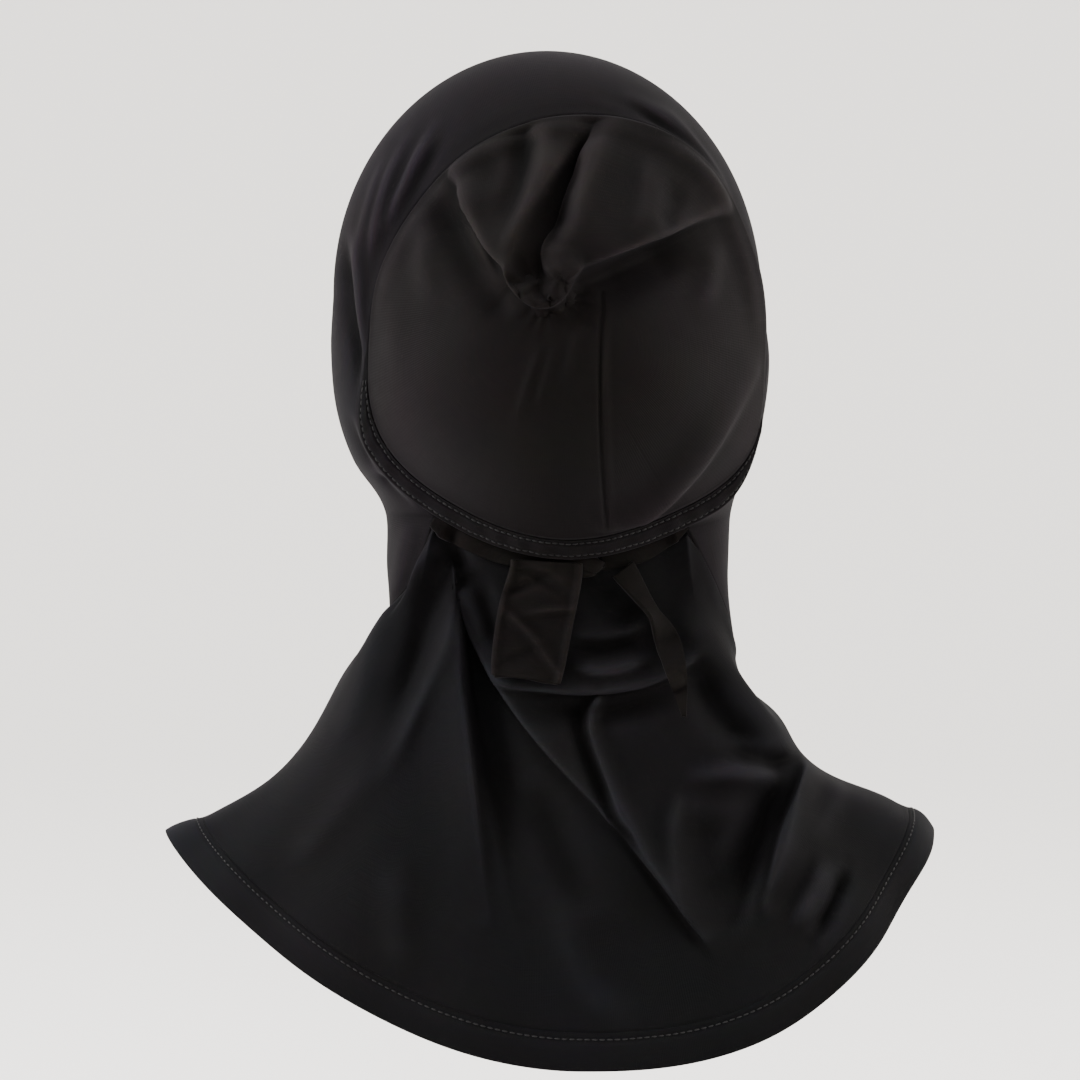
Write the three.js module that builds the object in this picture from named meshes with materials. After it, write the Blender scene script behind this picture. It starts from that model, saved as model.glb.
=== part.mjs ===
// A hijab underscarf: a jersey hood with a gathered bag at the back, a tied nape casing and a short cape.
// Millimetres, +Z up. +Y points out through the face opening and +X to the wearer's right.
// The origin is the inside of the crown, where the hood sits on the head.
import * as THREE from "three";

// Cloth and clearances.
const CLOTH = 1.4; // wall of one layer of jersey
const DOUBLED = 2.2; // wall where the jersey is turned under and stitched
const SEAM_GAP = 0.5; // between two edges that are sewn together
const LYING_GAP = 0.05; // between a tie and the highest cloth under it

// Hood.
const HOOD_HALF_WIDTH = 92; // middle of the head to the cloth over the ear
const HOOD_HALF_HEIGHT = 104; // widest level of the head up to the crown
const HOOD_HEIGHT = 243; // crown down to the fold under the chin
const CROWN_OFFSET = -2; // the crown leans this far to the wearer's left
const BROW_REACH = 84; // middle of the head forwards to the brow edge
const TEMPLE_REACH = 42; // middle of the head forwards to the temple edge
const FACE_HALF_WIDTH = 64; // face opening, middle to temple
const FACE_HALF_HEIGHT = 88; // face opening, middle to brow or chin
const FACE_DROP = 132; // crown down to the middle of the face opening
const FACE_HEM = 10; // width of the hem round the face
const FACE_SWEEP = 1.7; // how late the face edge comes forwards from the temples to the brow
const FACE_TURN = 60; // degrees that the cloth has turned in at the face edge
const BACK_TURN = 65; // and at the back edge

// Bag at the back, gathered to one point.
const BAG_RADIUS = 88; // middle of the bag to its rim
const BAG_OFFSET = 5; // the bag's middle lies this far to the wearer's right
const BAG_DROP = 117; // crown down to the bag's middle
const BAG_SEAT = 70; // middle of the head back to the top of the rim
const GATHER_REACH = 122; // middle of the head back to the gather point
const GATHER_OFFSET = -1; // the gather point lies this far to the wearer's left
const GATHER_DROP = 101; // crown down to the gather point
const LOWER_BULGE = 14; // how far the filled lower half swells
const BAG_ROUNDNESS = 2.6; // power of the curve from the gather point to the rim at its sides
const PUCKER_RADIUS = 8; // crinkled nub at the gather point
const PUCKER_HEIGHT = 3.5; // how far it stands out
const PUCKER_LOBES = 5;
const PUCKER_CRINKLE = 0.35; // share of its height that comes and goes round it

// Nape casing, knot and ties.
const CASING = 9.5; // width of the casing
const CASING_OUT = 0.88; // share of that width that goes outwards from the rim
const CASING_FORWARD = 0.46; // and share that goes forwards
const CASING_ENDS = { left: 190, right: 332 }; // degrees round the bag's middle
const CASING_GROWTH = 22; // degrees over which it grows to its full width
const CASING_TIP = 0.12; // share of its width that is left at its ends
const TIP_LENGTH = 4; // degrees that the tips run on as a plain seam
const STRAP_WIDTH = 8; // tie where it runs round the nape
const TIE_WALL = 1.8; // folded and stitched tie
const LEFT_TAIL_LENGTH = 42;
const LEFT_TAIL_WIDTH = 34;
const RIGHT_TAIL_LENGTH = 58;
const RIGHT_TAIL_WIDTH = 11;
const KNOT_HALF_WIDTH = 12;
const KNOT_HALF_DEPTH = 3.2;
const KNOT_HALF_HEIGHT = 5.4;
const KNOT_SHIFT = 10; // the knot lies this far to the wearer's right of the middle
const KNOT_DROP = 3; // and this far under the casing's edge
const KNOT_GAP = 0.55; // between the knot's middle and the cape
const KNOT_BITE = 1; // the straps run this far past the knot's tips
const STRAP_DROP = { left: 8.6, right: 6.8 }; // the straps start this far under the casing's corners
const STRAP_INSET = 5; // and this far inside them
const BRIDGE = 2; // a tie stays on the highest cloth within this distance
const TIE_COLUMN = 6; // width of a column of a tie's grid

// Cape.
const NECK_HALF_WIDTH = 70; // throat seam, middle to side
const NECK_DEPTH = 46; // middle of the head forwards to the throat seam
const NECK_DROP = 251; // crown down to the throat seam
const NAPE_RECESS = 11; // the nape cloth lies this far inside the casing
const NAPE_TUCK = 7; // and goes up behind it by this much
const CORNER_DROP = 3; // at the corners it starts below the casing
const CAPE_HALF_WIDTH = 167; // middle to the tip on the shoulder
const CAPE_BACK = 115; // middle of the head back to the hem
const CAPE_FRONT = 98; // middle of the head forwards to the hem
const CAPE_SWAY = 12; // the back hem's lowest point hangs this far to the wearer's right
const SHOULDER_DROP = 336; // crown down to the tips
const BACK_DROP = 420; // crown down to the hem at the back
const FRONT_DROP = 408; // crown down to the hem at the front
const CAPE_HEM = 15; // width of the turned hem
const TIP_SHARPNESS = { left: 2, right: 2.8 }; // how late the hem turns up to each tip
const NECK_FADE = 2.2; // how soon the cape leaves the neckline's shape

// Grids.
const RING_COLUMNS = 44; // round the bag's rim from the right corner to the left
const THROAT_COLUMNS = 28; // from the left corner round the front to the right corner
const NAPE_COLUMNS = 16; // between the corners under the bag
const HOOD_ROWS = 9;
const BAG_ROWS = 11;
const CAPE_ROWS = 12;
const PUCKER_COLUMNS = 20;
const PUCKER_ROWS = 3;
const LEFT_CORNER = 235.5; // degrees round the bag's middle, from the wearer's right over the top
const RIGHT_CORNER = 302;

// Bag rim round its middle: radius as a share of BAG_RADIUS, depth of BAG_SEAT.
const RIM = [
  { angle: -10, radius: 0.99, depth: 0.585 },
  { angle: 20, radius: 0.965, depth: 0.6 },
  { angle: 54, radius: 1.035, depth: 0.81 },
  { angle: 90, radius: 1, depth: 1 },
  { angle: 115, radius: 0.95, depth: 0.94 },
  { angle: 145, radius: 0.905, depth: 0.83 },
  { angle: 180, radius: 0.92, depth: 0.757 },
  { angle: 210, radius: 1.01, depth: 0.8 },
  { angle: 240, radius: 0.98, depth: 0.93 },
  { angle: 270, radius: 0.99, depth: 1.1 },
  { angle: 298, radius: 1.01, depth: 0.91 },
  { angle: 325, radius: 1.075, depth: 0.74 },
];

// Sides and underside of the hood at its widest: shares of HOOD_HALF_WIDTH, BROW_REACH and HOOD_HEIGHT.
const SIDES = [
  { angle: 180, across: -1, forward: 0, drop: 0.424 },
  { angle: 192, across: -1.013, forward: 0.02, drop: 0.523 },
  { angle: 205, across: -0.99, forward: 0.05, drop: 0.625 },
  { angle: 218, across: -0.913, forward: 0.06, drop: 0.716 },
  { angle: 235.5, across: -0.761, forward: 0.02, drop: 0.81 },
  { angle: 250, across: -0.734, forward: -0.06, drop: 0.94 },
  { angle: 258, across: -0.6, forward: 0.3, drop: 0.985 },
  { angle: 270, across: 0.02, forward: 0.81, drop: 1 },
  { angle: 282, across: 0.685, forward: 0.3, drop: 0.985 },
  { angle: 290, across: 0.826, forward: -0.06, drop: 0.95 },
  { angle: 302, across: 0.87, forward: 0.02, drop: 0.81 },
  { angle: 318, across: 0.946, forward: 0.06, drop: 0.724 },
  { angle: 335, across: 1.011, forward: 0.05, drop: 0.642 },
  { angle: 350, across: 1.043, forward: 0.02, drop: 0.535 },
  { angle: 360, across: 1, forward: 0, drop: 0.424 },
];

// Throat seam between the corners: shares of NECK_HALF_WIDTH, NECK_DEPTH and NECK_DROP.
const THROAT = [
  { angle: 243, across: -0.83, forward: -1.13, drop: 0.884 },
  { angle: 250, across: -0.986, forward: -0.65, drop: 0.948 },
  { angle: 258, across: -0.8, forward: 0.3, drop: 0.976 },
  { angle: 270, across: 0, forward: 1.02, drop: 1 },
  { angle: 282, across: 0.886, forward: 0.39, drop: 0.988 },
  { angle: 290, across: 1.11, forward: -0.61, drop: 0.996 },
  { angle: 296, across: 1, forward: -1.02, drop: 0.9 },
];

// Cape from neck to hem along its four middles: shares of the cape's half width and depths, and of its drops.
const CAPE = [
  { down: 0, left: 0.413, leftDrop: 0.705, right: 0.46, rightDrop: 0.69, back: 0.56, front: 0.48 },
  { down: 0.2, left: 0.545, leftDrop: 0.771, right: 0.505, rightDrop: 0.774, back: 0.63, front: 0.58 },
  { down: 0.35, left: 0.6, leftDrop: 0.824, right: 0.61, rightDrop: 0.821, back: 0.7, front: 0.65 },
  { down: 0.5, left: 0.659, leftDrop: 0.878, right: 0.653, rightDrop: 0.878, back: 0.78, front: 0.73 },
  { down: 0.65, left: 0.743, leftDrop: 0.926, right: 0.743, rightDrop: 0.92, back: 0.86, front: 0.81 },
  { down: 0.8, left: 0.85, leftDrop: 0.958, right: 0.868, rightDrop: 0.943, back: 0.93, front: 0.89 },
  { down: 0.9, left: 0.937, leftDrop: 0.979, right: 0.952, rightDrop: 0.964, back: 0.97, front: 0.945 },
  { down: 1, left: 1, leftDrop: 1, right: 0.994, rightDrop: 1, back: 1, front: 1 },
];

// Folds seen from behind, each a curve from one place by a second to a third, with its rise and its width
// on the left and right of that way. Places are across and up from the folds' centre, and all lengths are
// shares of the folded piece's size.
const BAG_FOLDS = [
  { name: "slack cloth left", rise: 0.13, left: 0.3, right: 0.08,
    from: [-0.47, 0.5], by: [-0.3, 0.2], to: [-0.06, -0.07] },
  { name: "slack cloth right", rise: 0.13, left: 0.34, right: 0.08,
    from: [0.06, -0.03], by: [0.34, 0.19], to: [0.76, 0.35] },
  { name: "pocket under left lip", rise: -0.07, left: 0.1, right: 0.16,
    from: [-0.58, 0.36], by: [-0.44, 0.08], to: [-0.16, -0.14] },
  { name: "pocket under right lip", rise: -0.07, left: 0.1, right: 0.16,
    from: [0.16, -0.12], by: [0.45, 0.05], to: [0.82, 0.22] },
  { name: "deep valley", rise: -0.2, left: 0.11, right: 0.14,
    from: [0.18, 0.68], by: [0.11, 0.42], to: [0, 0.14] },
  { name: "soft valley", rise: -0.06, left: 0.1, right: 0.1,
    from: [-0.12, 0.72], by: [-0.14, 0.5], to: [-0.16, 0.14] },
  { name: "lower crease", rise: 0.03, left: 0.12, right: 0.07,
    from: [0.26, -1.1], by: [0.56, -0.9], to: [0.92, -0.4] },
];
const HOOD_FOLDS = [
  { name: "left long fold", rise: 0.02, left: 0.07, right: 0.07,
    from: [-0.55, -0.14], by: [-0.78, -0.3], to: [-0.91, -0.46] },
  { name: "left side fold", rise: -0.025, left: 0.08, right: 0.08,
    from: [-0.92, -0.26], by: [-0.95, -0.44], to: [-0.7, -0.72] },
  { name: "left ear crease", rise: -0.025, left: 0.07, right: 0.08,
    from: [-0.97, -0.61], by: [-0.77, -0.72], to: [-0.57, -0.79] },
  { name: "right crown fold", rise: 0.02, left: 0.07, right: 0.07,
    from: [0.15, -0.09], by: [0.45, -0.15], to: [0.75, -0.25] },
  { name: "right side fold", rise: 0.02, left: 0.07, right: 0.07,
    from: [0.41, -0.08], by: [0.69, -0.18], to: [0.87, -0.31] },
];
const CAPE_FOLDS = [
  { name: "left edge ridge", rise: 0.025, left: 0.08, right: 0.08,
    from: [-0.3, -0.485], by: [-0.42, -0.59], to: [-0.6, -0.74] },
  { name: "left valley", rise: -0.045, left: 0.08, right: 0.08,
    from: [-0.28, -0.52], by: [-0.35, -0.64], to: [-0.53, -0.79] },
  { name: "tall ridge", rise: 0.06, left: 0.09, right: 0.075,
    from: [-0.25, -0.5], by: [-0.27, -0.64], to: [-0.19, -0.86] },
  { name: "valley beside it", rise: -0.045, left: 0.075, right: 0.09,
    from: [-0.17, -0.53], by: [-0.15, -0.66], to: [-0.05, -0.88] },
  { name: "diagonal fold", rise: 0.035, left: 0.08, right: 0.075,
    from: [-0.26, -0.5], by: [0.03, -0.69], to: [0.4, -0.88] },
  { name: "right roll", rise: 0.045, left: 0.08, right: 0.08,
    from: [0.4, -0.57], by: [0.5, -0.63], to: [0.66, -0.7] },
  { name: "shoulder ridge", rise: 0.06, left: 0.09, right: 0.07,
    from: [0.64, -0.7], by: [0.6, -0.76], to: [0.53, -0.84] },
  { name: "shoulder valley", rise: -0.06, left: 0.07, right: 0.09,
    from: [0.52, -0.69], by: [0.48, -0.76], to: [0.4, -0.86] },
  { name: "crumpled nape", rise: 0.025, left: 0.09, right: 0.07,
    from: [-0.13, -0.605], by: [0.07, -0.61], to: [0.32, -0.595] },
];

// Ties from their start: places as shares of the tie's length, and the width as a share of its widest.
const STRAP = [
  { along: 0, across: 0, down: 0, width: 1 },
  { along: 0.4, across: 0.39, down: 0.12, width: 1 },
  { along: 1, across: 1, down: 0.17, width: 0.9 },
];
const STRAP_MIRRORED = STRAP.map((row) => ({ ...row, across: -row.across }));
const LEFT_TAIL = [
  { along: 0, across: 0, down: 0, width: 0.84 },
  { along: 0.5, across: -0.07, down: 0.49, width: 0.9 },
  { along: 1, across: -0.17, down: 0.99, width: 0.88 },
];
const RIGHT_TAIL = [
  { along: 0, across: 0, down: 0, width: 0.9 },
  { along: 0.4, across: 0.27, down: 0.3, width: 1 },
  { along: 0.8, across: 0.42, down: 0.68, width: 0.9 },
  { along: 1, across: 0.48, down: 0.88, width: 0.3 },
];

// Colours.
const BLACK_JERSEY = 0x18161a;
const CAPE_JERSEY = 0x15171b;

const DEGREE = Math.PI / 180;
const FOLD_STEPS = 24; // places that are tried along each fold
const FOLD_TIP = 0.12; // share of a fold's arch that is cut off at each end
const FACING = 0.35; // folds reach their full height where the cloth faces this much backwards
const NECK_SHARE = 0.15; // share of the rows over which folds grow from a grid's first row
const SEWN_SHARE = 0.2; // and share over which they fade to a sewn end
const STEP = 0.1; // a short step along a column, by which millimetres are turned into shares
const SAME = 1e-6; // angles closer than this are one

function mix(a, b, share) {
  return a + (b - a) * share;
}

function ease(from, to, value) {
  const share = Math.min(1, Math.max(0, (value - from) / (to - from)));
  return share * share * (3 - 2 * share);
}

// A smooth curve through one column of a table. A table with a turn goes on round after its last row.
function read(table, by, column, at, turn = 0) {
  const count = table.length;
  const row = (i) => {
    if (!turn) return table[Math.min(count - 1, Math.max(0, i))];
    const lap = Math.floor(i / count);
    const entry = table[i - lap * count];
    return { [by]: entry[by] + lap * turn, [column]: entry[column] };
  };
  const place = turn ? at - Math.floor((at - table[0][by]) / turn) * turn : at;
  let first = 0;
  const last = turn ? count - 1 : count - 2;
  while (first < last && row(first + 1)[by] <= place) first += 1;
  const [before, start, end, after] = [-1, 0, 1, 2].map((step) => row(first + step));
  const span = end[by] - start[by];
  const share = (place - start[by]) / span;
  const startSlope = ((end[column] - before[column]) / (end[by] - before[by])) * span;
  const endSlope = ((after[column] - start[column]) / (after[by] - start[by])) * span;
  const rise = end[column] - start[column];
  const bend = (startSlope + endSlope - 2 * rise) * share + 3 * rise - 2 * startSlope - endSlope;
  return start[column] + share * (startSlope + share * bend);
}

// Folds

// How far the cloth stands out at a place seen from behind, measured from the folds' centre.
function foldHeight(folds, size, across, up) {
  let height = 0;
  for (const fold of folds) {
    let nearest = Infinity;
    let here;
    for (let step = 0; step <= FOLD_STEPS; step += 1) {
      const t = step / FOLD_STEPS;
      // The weights of a parabola through the three places.
      const a = (1 - t) * (1 - 2 * t);
      const b = 4 * t * (1 - t);
      const c = t * (2 * t - 1);
      const x = size.across * (a * fold.from[0] + b * fold.by[0] + c * fold.to[0]);
      const z = size.up * (a * fold.from[1] + b * fold.by[1] + c * fold.to[1]);
      const gap = Math.hypot(across - x, up - z);
      if (gap < nearest) {
        nearest = gap;
        here = { t, x, z };
      }
    }
    const alongX = size.across * (fold.to[0] - fold.from[0]);
    const alongZ = size.up * (fold.to[1] - fold.from[1]);
    const toTheLeft = alongX * (up - here.z) - alongZ * (across - here.x) > 0;
    const width = size.across * (toTheLeft ? fold.left : fold.right);
    const fade = Math.sin(Math.PI * mix(FOLD_TIP, 1 - FOLD_TIP, here.t));
    height += size.across * fold.rise * fade * Math.exp(-((nearest / width) ** 2));
  }
  return height;
}

// Curves that the pieces share

function rim(angle) {
  const radius = BAG_RADIUS * read(RIM, "angle", "radius", angle, 360);
  const depth = BAG_SEAT * read(RIM, "angle", "depth", angle, 360);
  return new THREE.Vector3(
    BAG_OFFSET + radius * Math.cos(angle * DEGREE),
    -depth,
    -BAG_DROP + radius * Math.sin(angle * DEGREE),
  );
}

// Degrees from the top of the rim, over the wearer's left, as the casing counts them.
function casingAngle(angle) {
  return angle < 90 ? angle + 360 : angle;
}

// The casing runs round the lower half of the rim and thins out to a tip at both ends.
function casingEdge(angle, share) {
  const round = casingAngle(angle);
  const edge = rim(angle);
  const { left, right } = CASING_ENDS;
  if (round < left - TIP_LENGTH || round > right + TIP_LENGTH) return edge;
  const grown = ease(left, left + CASING_GROWTH, round) * ease(right, right - CASING_GROWTH, round);
  const width = CASING * mix(CASING_TIP, 1, grown) * share;
  edge.x += width * CASING_OUT * Math.cos(angle * DEGREE);
  edge.z += width * CASING_OUT * Math.sin(angle * DEGREE);
  edge.y += width * CASING_FORWARD;
  return edge;
}

const leftCorner = casingEdge(LEFT_CORNER, 1);
const rightCorner = casingEdge(RIGHT_CORNER, 1);
const throatRows = [
  { angle: LEFT_CORNER, x: leftCorner.x, y: leftCorner.y, z: leftCorner.z },
  ...THROAT.map((row) => ({
    angle: row.angle,
    x: NECK_HALF_WIDTH * row.across,
    y: NECK_DEPTH * row.forward,
    z: -NECK_DROP * row.drop,
  })),
  { angle: RIGHT_CORNER, x: rightCorner.x, y: rightCorner.y, z: rightCorner.z },
];

function throat(angle) {
  return new THREE.Vector3(...["x", "y", "z"].map((column) => read(throatRows, "angle", column, angle)));
}

// Hood

function faceEdge(angle) {
  const side = Math.cos(angle * DEGREE);
  const rise = Math.sin(angle * DEGREE);
  return new THREE.Vector3(
    FACE_HALF_WIDTH * side,
    mix(TEMPLE_REACH, BROW_REACH, Math.abs(rise) ** FACE_SWEEP),
    -FACE_DROP + FACE_HALF_HEIGHT * rise,
  );
}

function widest(angle) {
  if (angle >= 0 && angle <= 180) {
    return new THREE.Vector3(
      CROWN_OFFSET + HOOD_HALF_WIDTH * Math.cos(angle * DEGREE),
      0,
      CLOTH - HOOD_HALF_HEIGHT + HOOD_HALF_HEIGHT * Math.sin(angle * DEGREE),
    );
  }
  const round = angle < 0 ? angle + 360 : angle;
  return new THREE.Vector3(
    CROWN_OFFSET + HOOD_HALF_WIDTH * read(SIDES, "angle", "across", round),
    BROW_REACH * read(SIDES, "angle", "forward", round),
    -HOOD_HEIGHT * read(SIDES, "angle", "drop", round),
  );
}

// Share 0 is the face edge, 0.5 the widest line and 1 the back edge. Both halves are elliptic arcs.
function hoodPoint(angle, share, backEdge) {
  const middle = widest(angle);
  const front = share < 0.5;
  const end = front ? faceEdge(angle) : backEdge;
  const turn = (front ? FACE_TURN : BACK_TURN) * DEGREE;
  const theta = turn * Math.abs(1 - 2 * share);
  const inward = (1 - Math.cos(theta)) / (1 - Math.cos(turn));
  const along = Math.sin(theta) / Math.sin(turn);
  return new THREE.Vector3(
    mix(middle.x, end.x, inward),
    mix(middle.y, end.y, along),
    mix(middle.z, end.z, inward),
  );
}

// Bag

// Nothing at shares 0 and 1, and 1 at its highest between them.
function swell(share) {
  return (share * (1 - share * share)) / (2 / 27 ** 0.5);
}

function bagPoint(angle, share) {
  const edge = rim(angle);
  const low = Math.sin(angle * DEGREE);
  const roundness = BAG_ROUNDNESS - low;
  const lowness = (0.5 - 0.5 * low) ** 2;
  const bulge = LOWER_BULGE * lowness * swell(share);
  const across = mix(0, edge.x - GATHER_OFFSET, share);
  const up = mix(0, edge.z + GATHER_DROP, share);
  const near = ease(PUCKER_RADIUS, 3 * PUCKER_RADIUS, Math.hypot(across, up));
  const edgeFade = 1 - ease(0.8, 1, share);
  const fold = near * edgeFade * foldHeight(BAG_FOLDS, { across: BAG_RADIUS, up: BAG_RADIUS }, across, up);
  return new THREE.Vector3(
    GATHER_OFFSET + across,
    edge.y - (GATHER_REACH + edge.y) * (1 - share ** roundness) - bulge - fold,
    -GATHER_DROP + up,
  );
}

// Cape

// The bearing turns from the middle of the back, 0, to the wearer's right, 90, and on to the front.
function capeForm(bearing, down) {
  const side = Math.sin(bearing * DEGREE);
  const back = Math.cos(bearing * DEGREE);
  const right = side > 0;
  const width = CAPE_HALF_WIDTH * read(CAPE, "down", right ? "right" : "left", down);
  const sideDrop = SHOULDER_DROP * read(CAPE, "down", right ? "rightDrop" : "leftDrop", down);
  const backDepth = CAPE_BACK * read(CAPE, "down", "back", down);
  const frontDepth = CAPE_FRONT * read(CAPE, "down", "front", down);
  const depth = back > 0 ? backDepth : frontDepth;
  const backDrop = mix(GATHER_DROP + BAG_RADIUS, BACK_DROP, down);
  const middleDrop = back > 0 ? backDrop : mix(NECK_DROP, FRONT_DROP, down);
  const sideways = Math.abs(side) ** (right ? TIP_SHARPNESS.right : TIP_SHARPNESS.left);
  const sway = back > 0 ? CAPE_SWAY * down * back * back : 0;
  return new THREE.Vector3(width * side + sway, -back * depth, -mix(middleDrop, sideDrop, sideways));
}

function capePoint(neck, bearing, down) {
  const point = capeForm(bearing, down);
  const offset = neck.clone().sub(capeForm(bearing, 0));
  point.addScaledVector(offset, (1 - down) ** NECK_FADE);
  return point;
}

// Grids of points, as rows of columns

function grid(rows, columns, point) {
  return Array.from({ length: rows + 1 }, (_, r) => columns.map((column, c) => point(column, r / rows, c)));
}

// The average normal at each point, from its neighbours along and across the grid.
function normalsOf(points, wraps) {
  const rows = points.length;
  const columns = points[0].length;
  return points.map((row, r) =>
    row.map((_, c) => {
      const after = wraps ? (c + 1) % columns : Math.min(columns - 1, c + 1);
      const before = wraps ? (c + columns - 1) % columns : Math.max(0, c - 1);
      const along = row[after].clone().sub(row[before]);
      const down = points[Math.min(rows - 1, r + 1)][c].clone().sub(points[Math.max(0, r - 1)][c]);
      return along.cross(down).normalize();
    }),
  );
}

// Raises each point along its normal by the folds, where it is seen from behind, and less towards sewn edges.
function raise(points, folds, size, endIsSewn) {
  const normals = normalsOf(points, true);
  return points.map((row, r) =>
    row.map((point, c) => {
      const share = r / (points.length - 1);
      const endFade = endIsSewn ? ease(1, 1 - SEWN_SHARE, share) : 1;
      const fade = ease(0, FACING, -normals[r][c].y) * ease(0, NECK_SHARE, share) * endFade;
      const height = foldHeight(folds, size, point.x, point.z);
      return point.clone().addScaledVector(normals[r][c], fade * height);
    }),
  );
}

// Draws one edge of a grid back by half a seam gap.
function drawBack(points, edgeRow, nextRow) {
  points[edgeRow].forEach((point, c) => {
    const inward = points[nextRow][c].clone().sub(point).normalize();
    point.addScaledVector(inward, SEAM_GAP / 2);
  });
}

// Edges that are sewn together lean the same way at a place, so that their walls meet face to face.
function shareNormals(normals) {
  const mean = new THREE.Vector3();
  normals.forEach((normal) => mean.add(normal));
  mean.normalize();
  normals.forEach((normal) => normal.copy(mean));
}

// A closed wall between a grid and the same grid moved inwards. A grid with a pole ends in one point.
function shell(name, colour, points, normals, wall, wraps, pole = false) {
  const rows = points.length;
  const columns = points[0].length;
  const outer = points.flat();
  const inner = outer.map((point, i) => point.clone().addScaledVector(normals.flat()[i], -wall));
  const positions = [...outer, ...inner].flatMap((point) => point.toArray());
  const index = [];
  const at = (r, c, layer) => (layer * rows + r) * columns + (pole && r === rows - 1 ? 0 : c % columns);
  const triangle = (a, b, c) => {
    if (a !== b && b !== c && c !== a) index.push(a, b, c);
  };
  const quad = (a, b, c, d) => {
    triangle(a, b, c);
    triangle(a, c, d);
  };
  const spans = wraps ? columns : columns - 1;
  for (let c = 0; c < spans; c += 1) {
    for (let r = 0; r < rows - 1; r += 1) {
      quad(at(r, c, 0), at(r, c + 1, 0), at(r + 1, c + 1, 0), at(r + 1, c, 0));
      quad(at(r, c, 1), at(r + 1, c, 1), at(r + 1, c + 1, 1), at(r, c + 1, 1));
    }
    quad(at(0, c, 1), at(0, c + 1, 1), at(0, c + 1, 0), at(0, c, 0));
    quad(at(rows - 1, c, 0), at(rows - 1, c + 1, 0), at(rows - 1, c + 1, 1), at(rows - 1, c, 1));
  }
  if (!wraps) {
    for (let r = 0; r < rows - 1; r += 1) {
      quad(at(r, 0, 0), at(r + 1, 0, 0), at(r + 1, 0, 1), at(r, 0, 1));
      quad(at(r, spans, 1), at(r + 1, spans, 1), at(r + 1, spans, 0), at(r, spans, 0));
    }
  }
  const geometry = new THREE.BufferGeometry();
  geometry.setAttribute("position", new THREE.Float32BufferAttribute(positions, 3));
  geometry.setIndex(index);
  geometry.computeVertexNormals();
  const mesh = new THREE.Mesh(geometry, new THREE.MeshStandardMaterial({ color: colour, roughness: 0.9 }));
  mesh.name = name;
  return mesh;
}

// Pieces

function spread(from, to, count) {
  return Array.from({ length: count }, (_, i) => mix(from, to, i / count));
}

const ringAngles = spread(RIGHT_CORNER - 360, LEFT_CORNER, RING_COLUMNS);
const throatAngles = spread(LEFT_CORNER, RIGHT_CORNER, THROAT_COLUMNS);
const napeAngles = spread(LEFT_CORNER, RIGHT_CORNER, NAPE_COLUMNS);

// Hood panel and its face hem: columns run round the face, rows from the face to the back.
const hoodColumns = [
  ...ringAngles.map((angle) => ({ angle, back: casingEdge(angle, 1) })),
  ...throatAngles.map((angle) => ({ angle, back: throat(angle) })),
];
const wholeHood = (column, share) => hoodPoint(column.angle, share, column.back);
const hemShare = hoodColumns.map((column) => {
  const edge = wholeHood(column, 0);
  return (STEP * FACE_HEM) / edge.distanceTo(wholeHood(column, STEP));
});
const hoodPoints = raise(
  grid(HOOD_ROWS, hoodColumns, (column, share, c) => wholeHood(column, mix(hemShare[c], 1, share))),
  HOOD_FOLDS,
  { across: HOOD_HALF_WIDTH, up: HOOD_HEIGHT },
  true,
);
const faceHemPoints = grid(1, hoodColumns, (column, share, c) => wholeHood(column, share * hemShare[c]));

// Bag: columns run round the gather point, rows from the rim to the pucker's edge.
const bagAngles = [...ringAngles, ...napeAngles];
const puckerShare = bagAngles.map((angle) => {
  const edge = rim(angle);
  return PUCKER_RADIUS / Math.hypot(edge.x - GATHER_OFFSET, edge.z + GATHER_DROP);
});
const bagPoints = grid(BAG_ROWS, bagAngles, (angle, share, c) =>
  bagPoint(angle, mix(1, puckerShare[c], share)),
);

// Pucker: a crinkled cap in the middle of the bag.
const puckerAngles = spread(0, 360, PUCKER_COLUMNS);
const puckerPoints = grid(PUCKER_ROWS, puckerAngles, (angle, share) => {
  const edge = rim(angle);
  const reach = Math.hypot(edge.x - GATHER_OFFSET, edge.z + GATHER_DROP);
  const point = bagPoint(angle, (PUCKER_RADIUS * (1 - share)) / reach);
  const crinkle = 1 - PUCKER_CRINKLE + PUCKER_CRINKLE * Math.cos(PUCKER_LOBES * angle * DEGREE) * (1 - share);
  point.y -= PUCKER_HEIGHT * Math.sin((share * Math.PI) / 2) * crinkle;
  return point;
});

// Casing: a strip from the hood, or the free edge along the nape, to the bag's rim.
const casingAngles = [...ringAngles, ...napeAngles, RIGHT_CORNER]
  .map(casingAngle)
  .filter((angle) => angle > CASING_ENDS.left && angle < CASING_ENDS.right)
  .sort((a, b) => a - b)
  .filter((angle, i, all) => i === 0 || angle - all[i - 1] > SAME);
const casingPoints = grid(2, casingAngles, (angle, share) => casingEdge(angle, 1 - share));

// Cape and its hem: columns run from the left corner round the front, then back along the nape.
const napeNecks = napeAngles.map((_, i) => {
  const along = i / NAPE_COLUMNS;
  const angle = mix(RIGHT_CORNER, LEFT_CORNER, along);
  const inwards = Math.sin(Math.PI * along) ** 0.6;
  const neck = casingEdge(angle, 1);
  neck.x -= 0.5 * NAPE_RECESS * inwards * Math.cos(angle * DEGREE);
  neck.y += NAPE_RECESS * inwards;
  neck.z += mix(-CORNER_DROP, NAPE_TUCK, ease(0.35, 0.75, inwards));
  return neck;
});
const throatNecks = throatAngles.map((angle, i) => {
  const neck = throat(angle);
  if (i === 0) neck.z -= CORNER_DROP;
  return neck;
});
const leftBearing = Math.atan2(leftCorner.x, -leftCorner.y) / DEGREE;
const rightBearing = Math.atan2(rightCorner.x, -rightCorner.y) / DEGREE;
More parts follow.
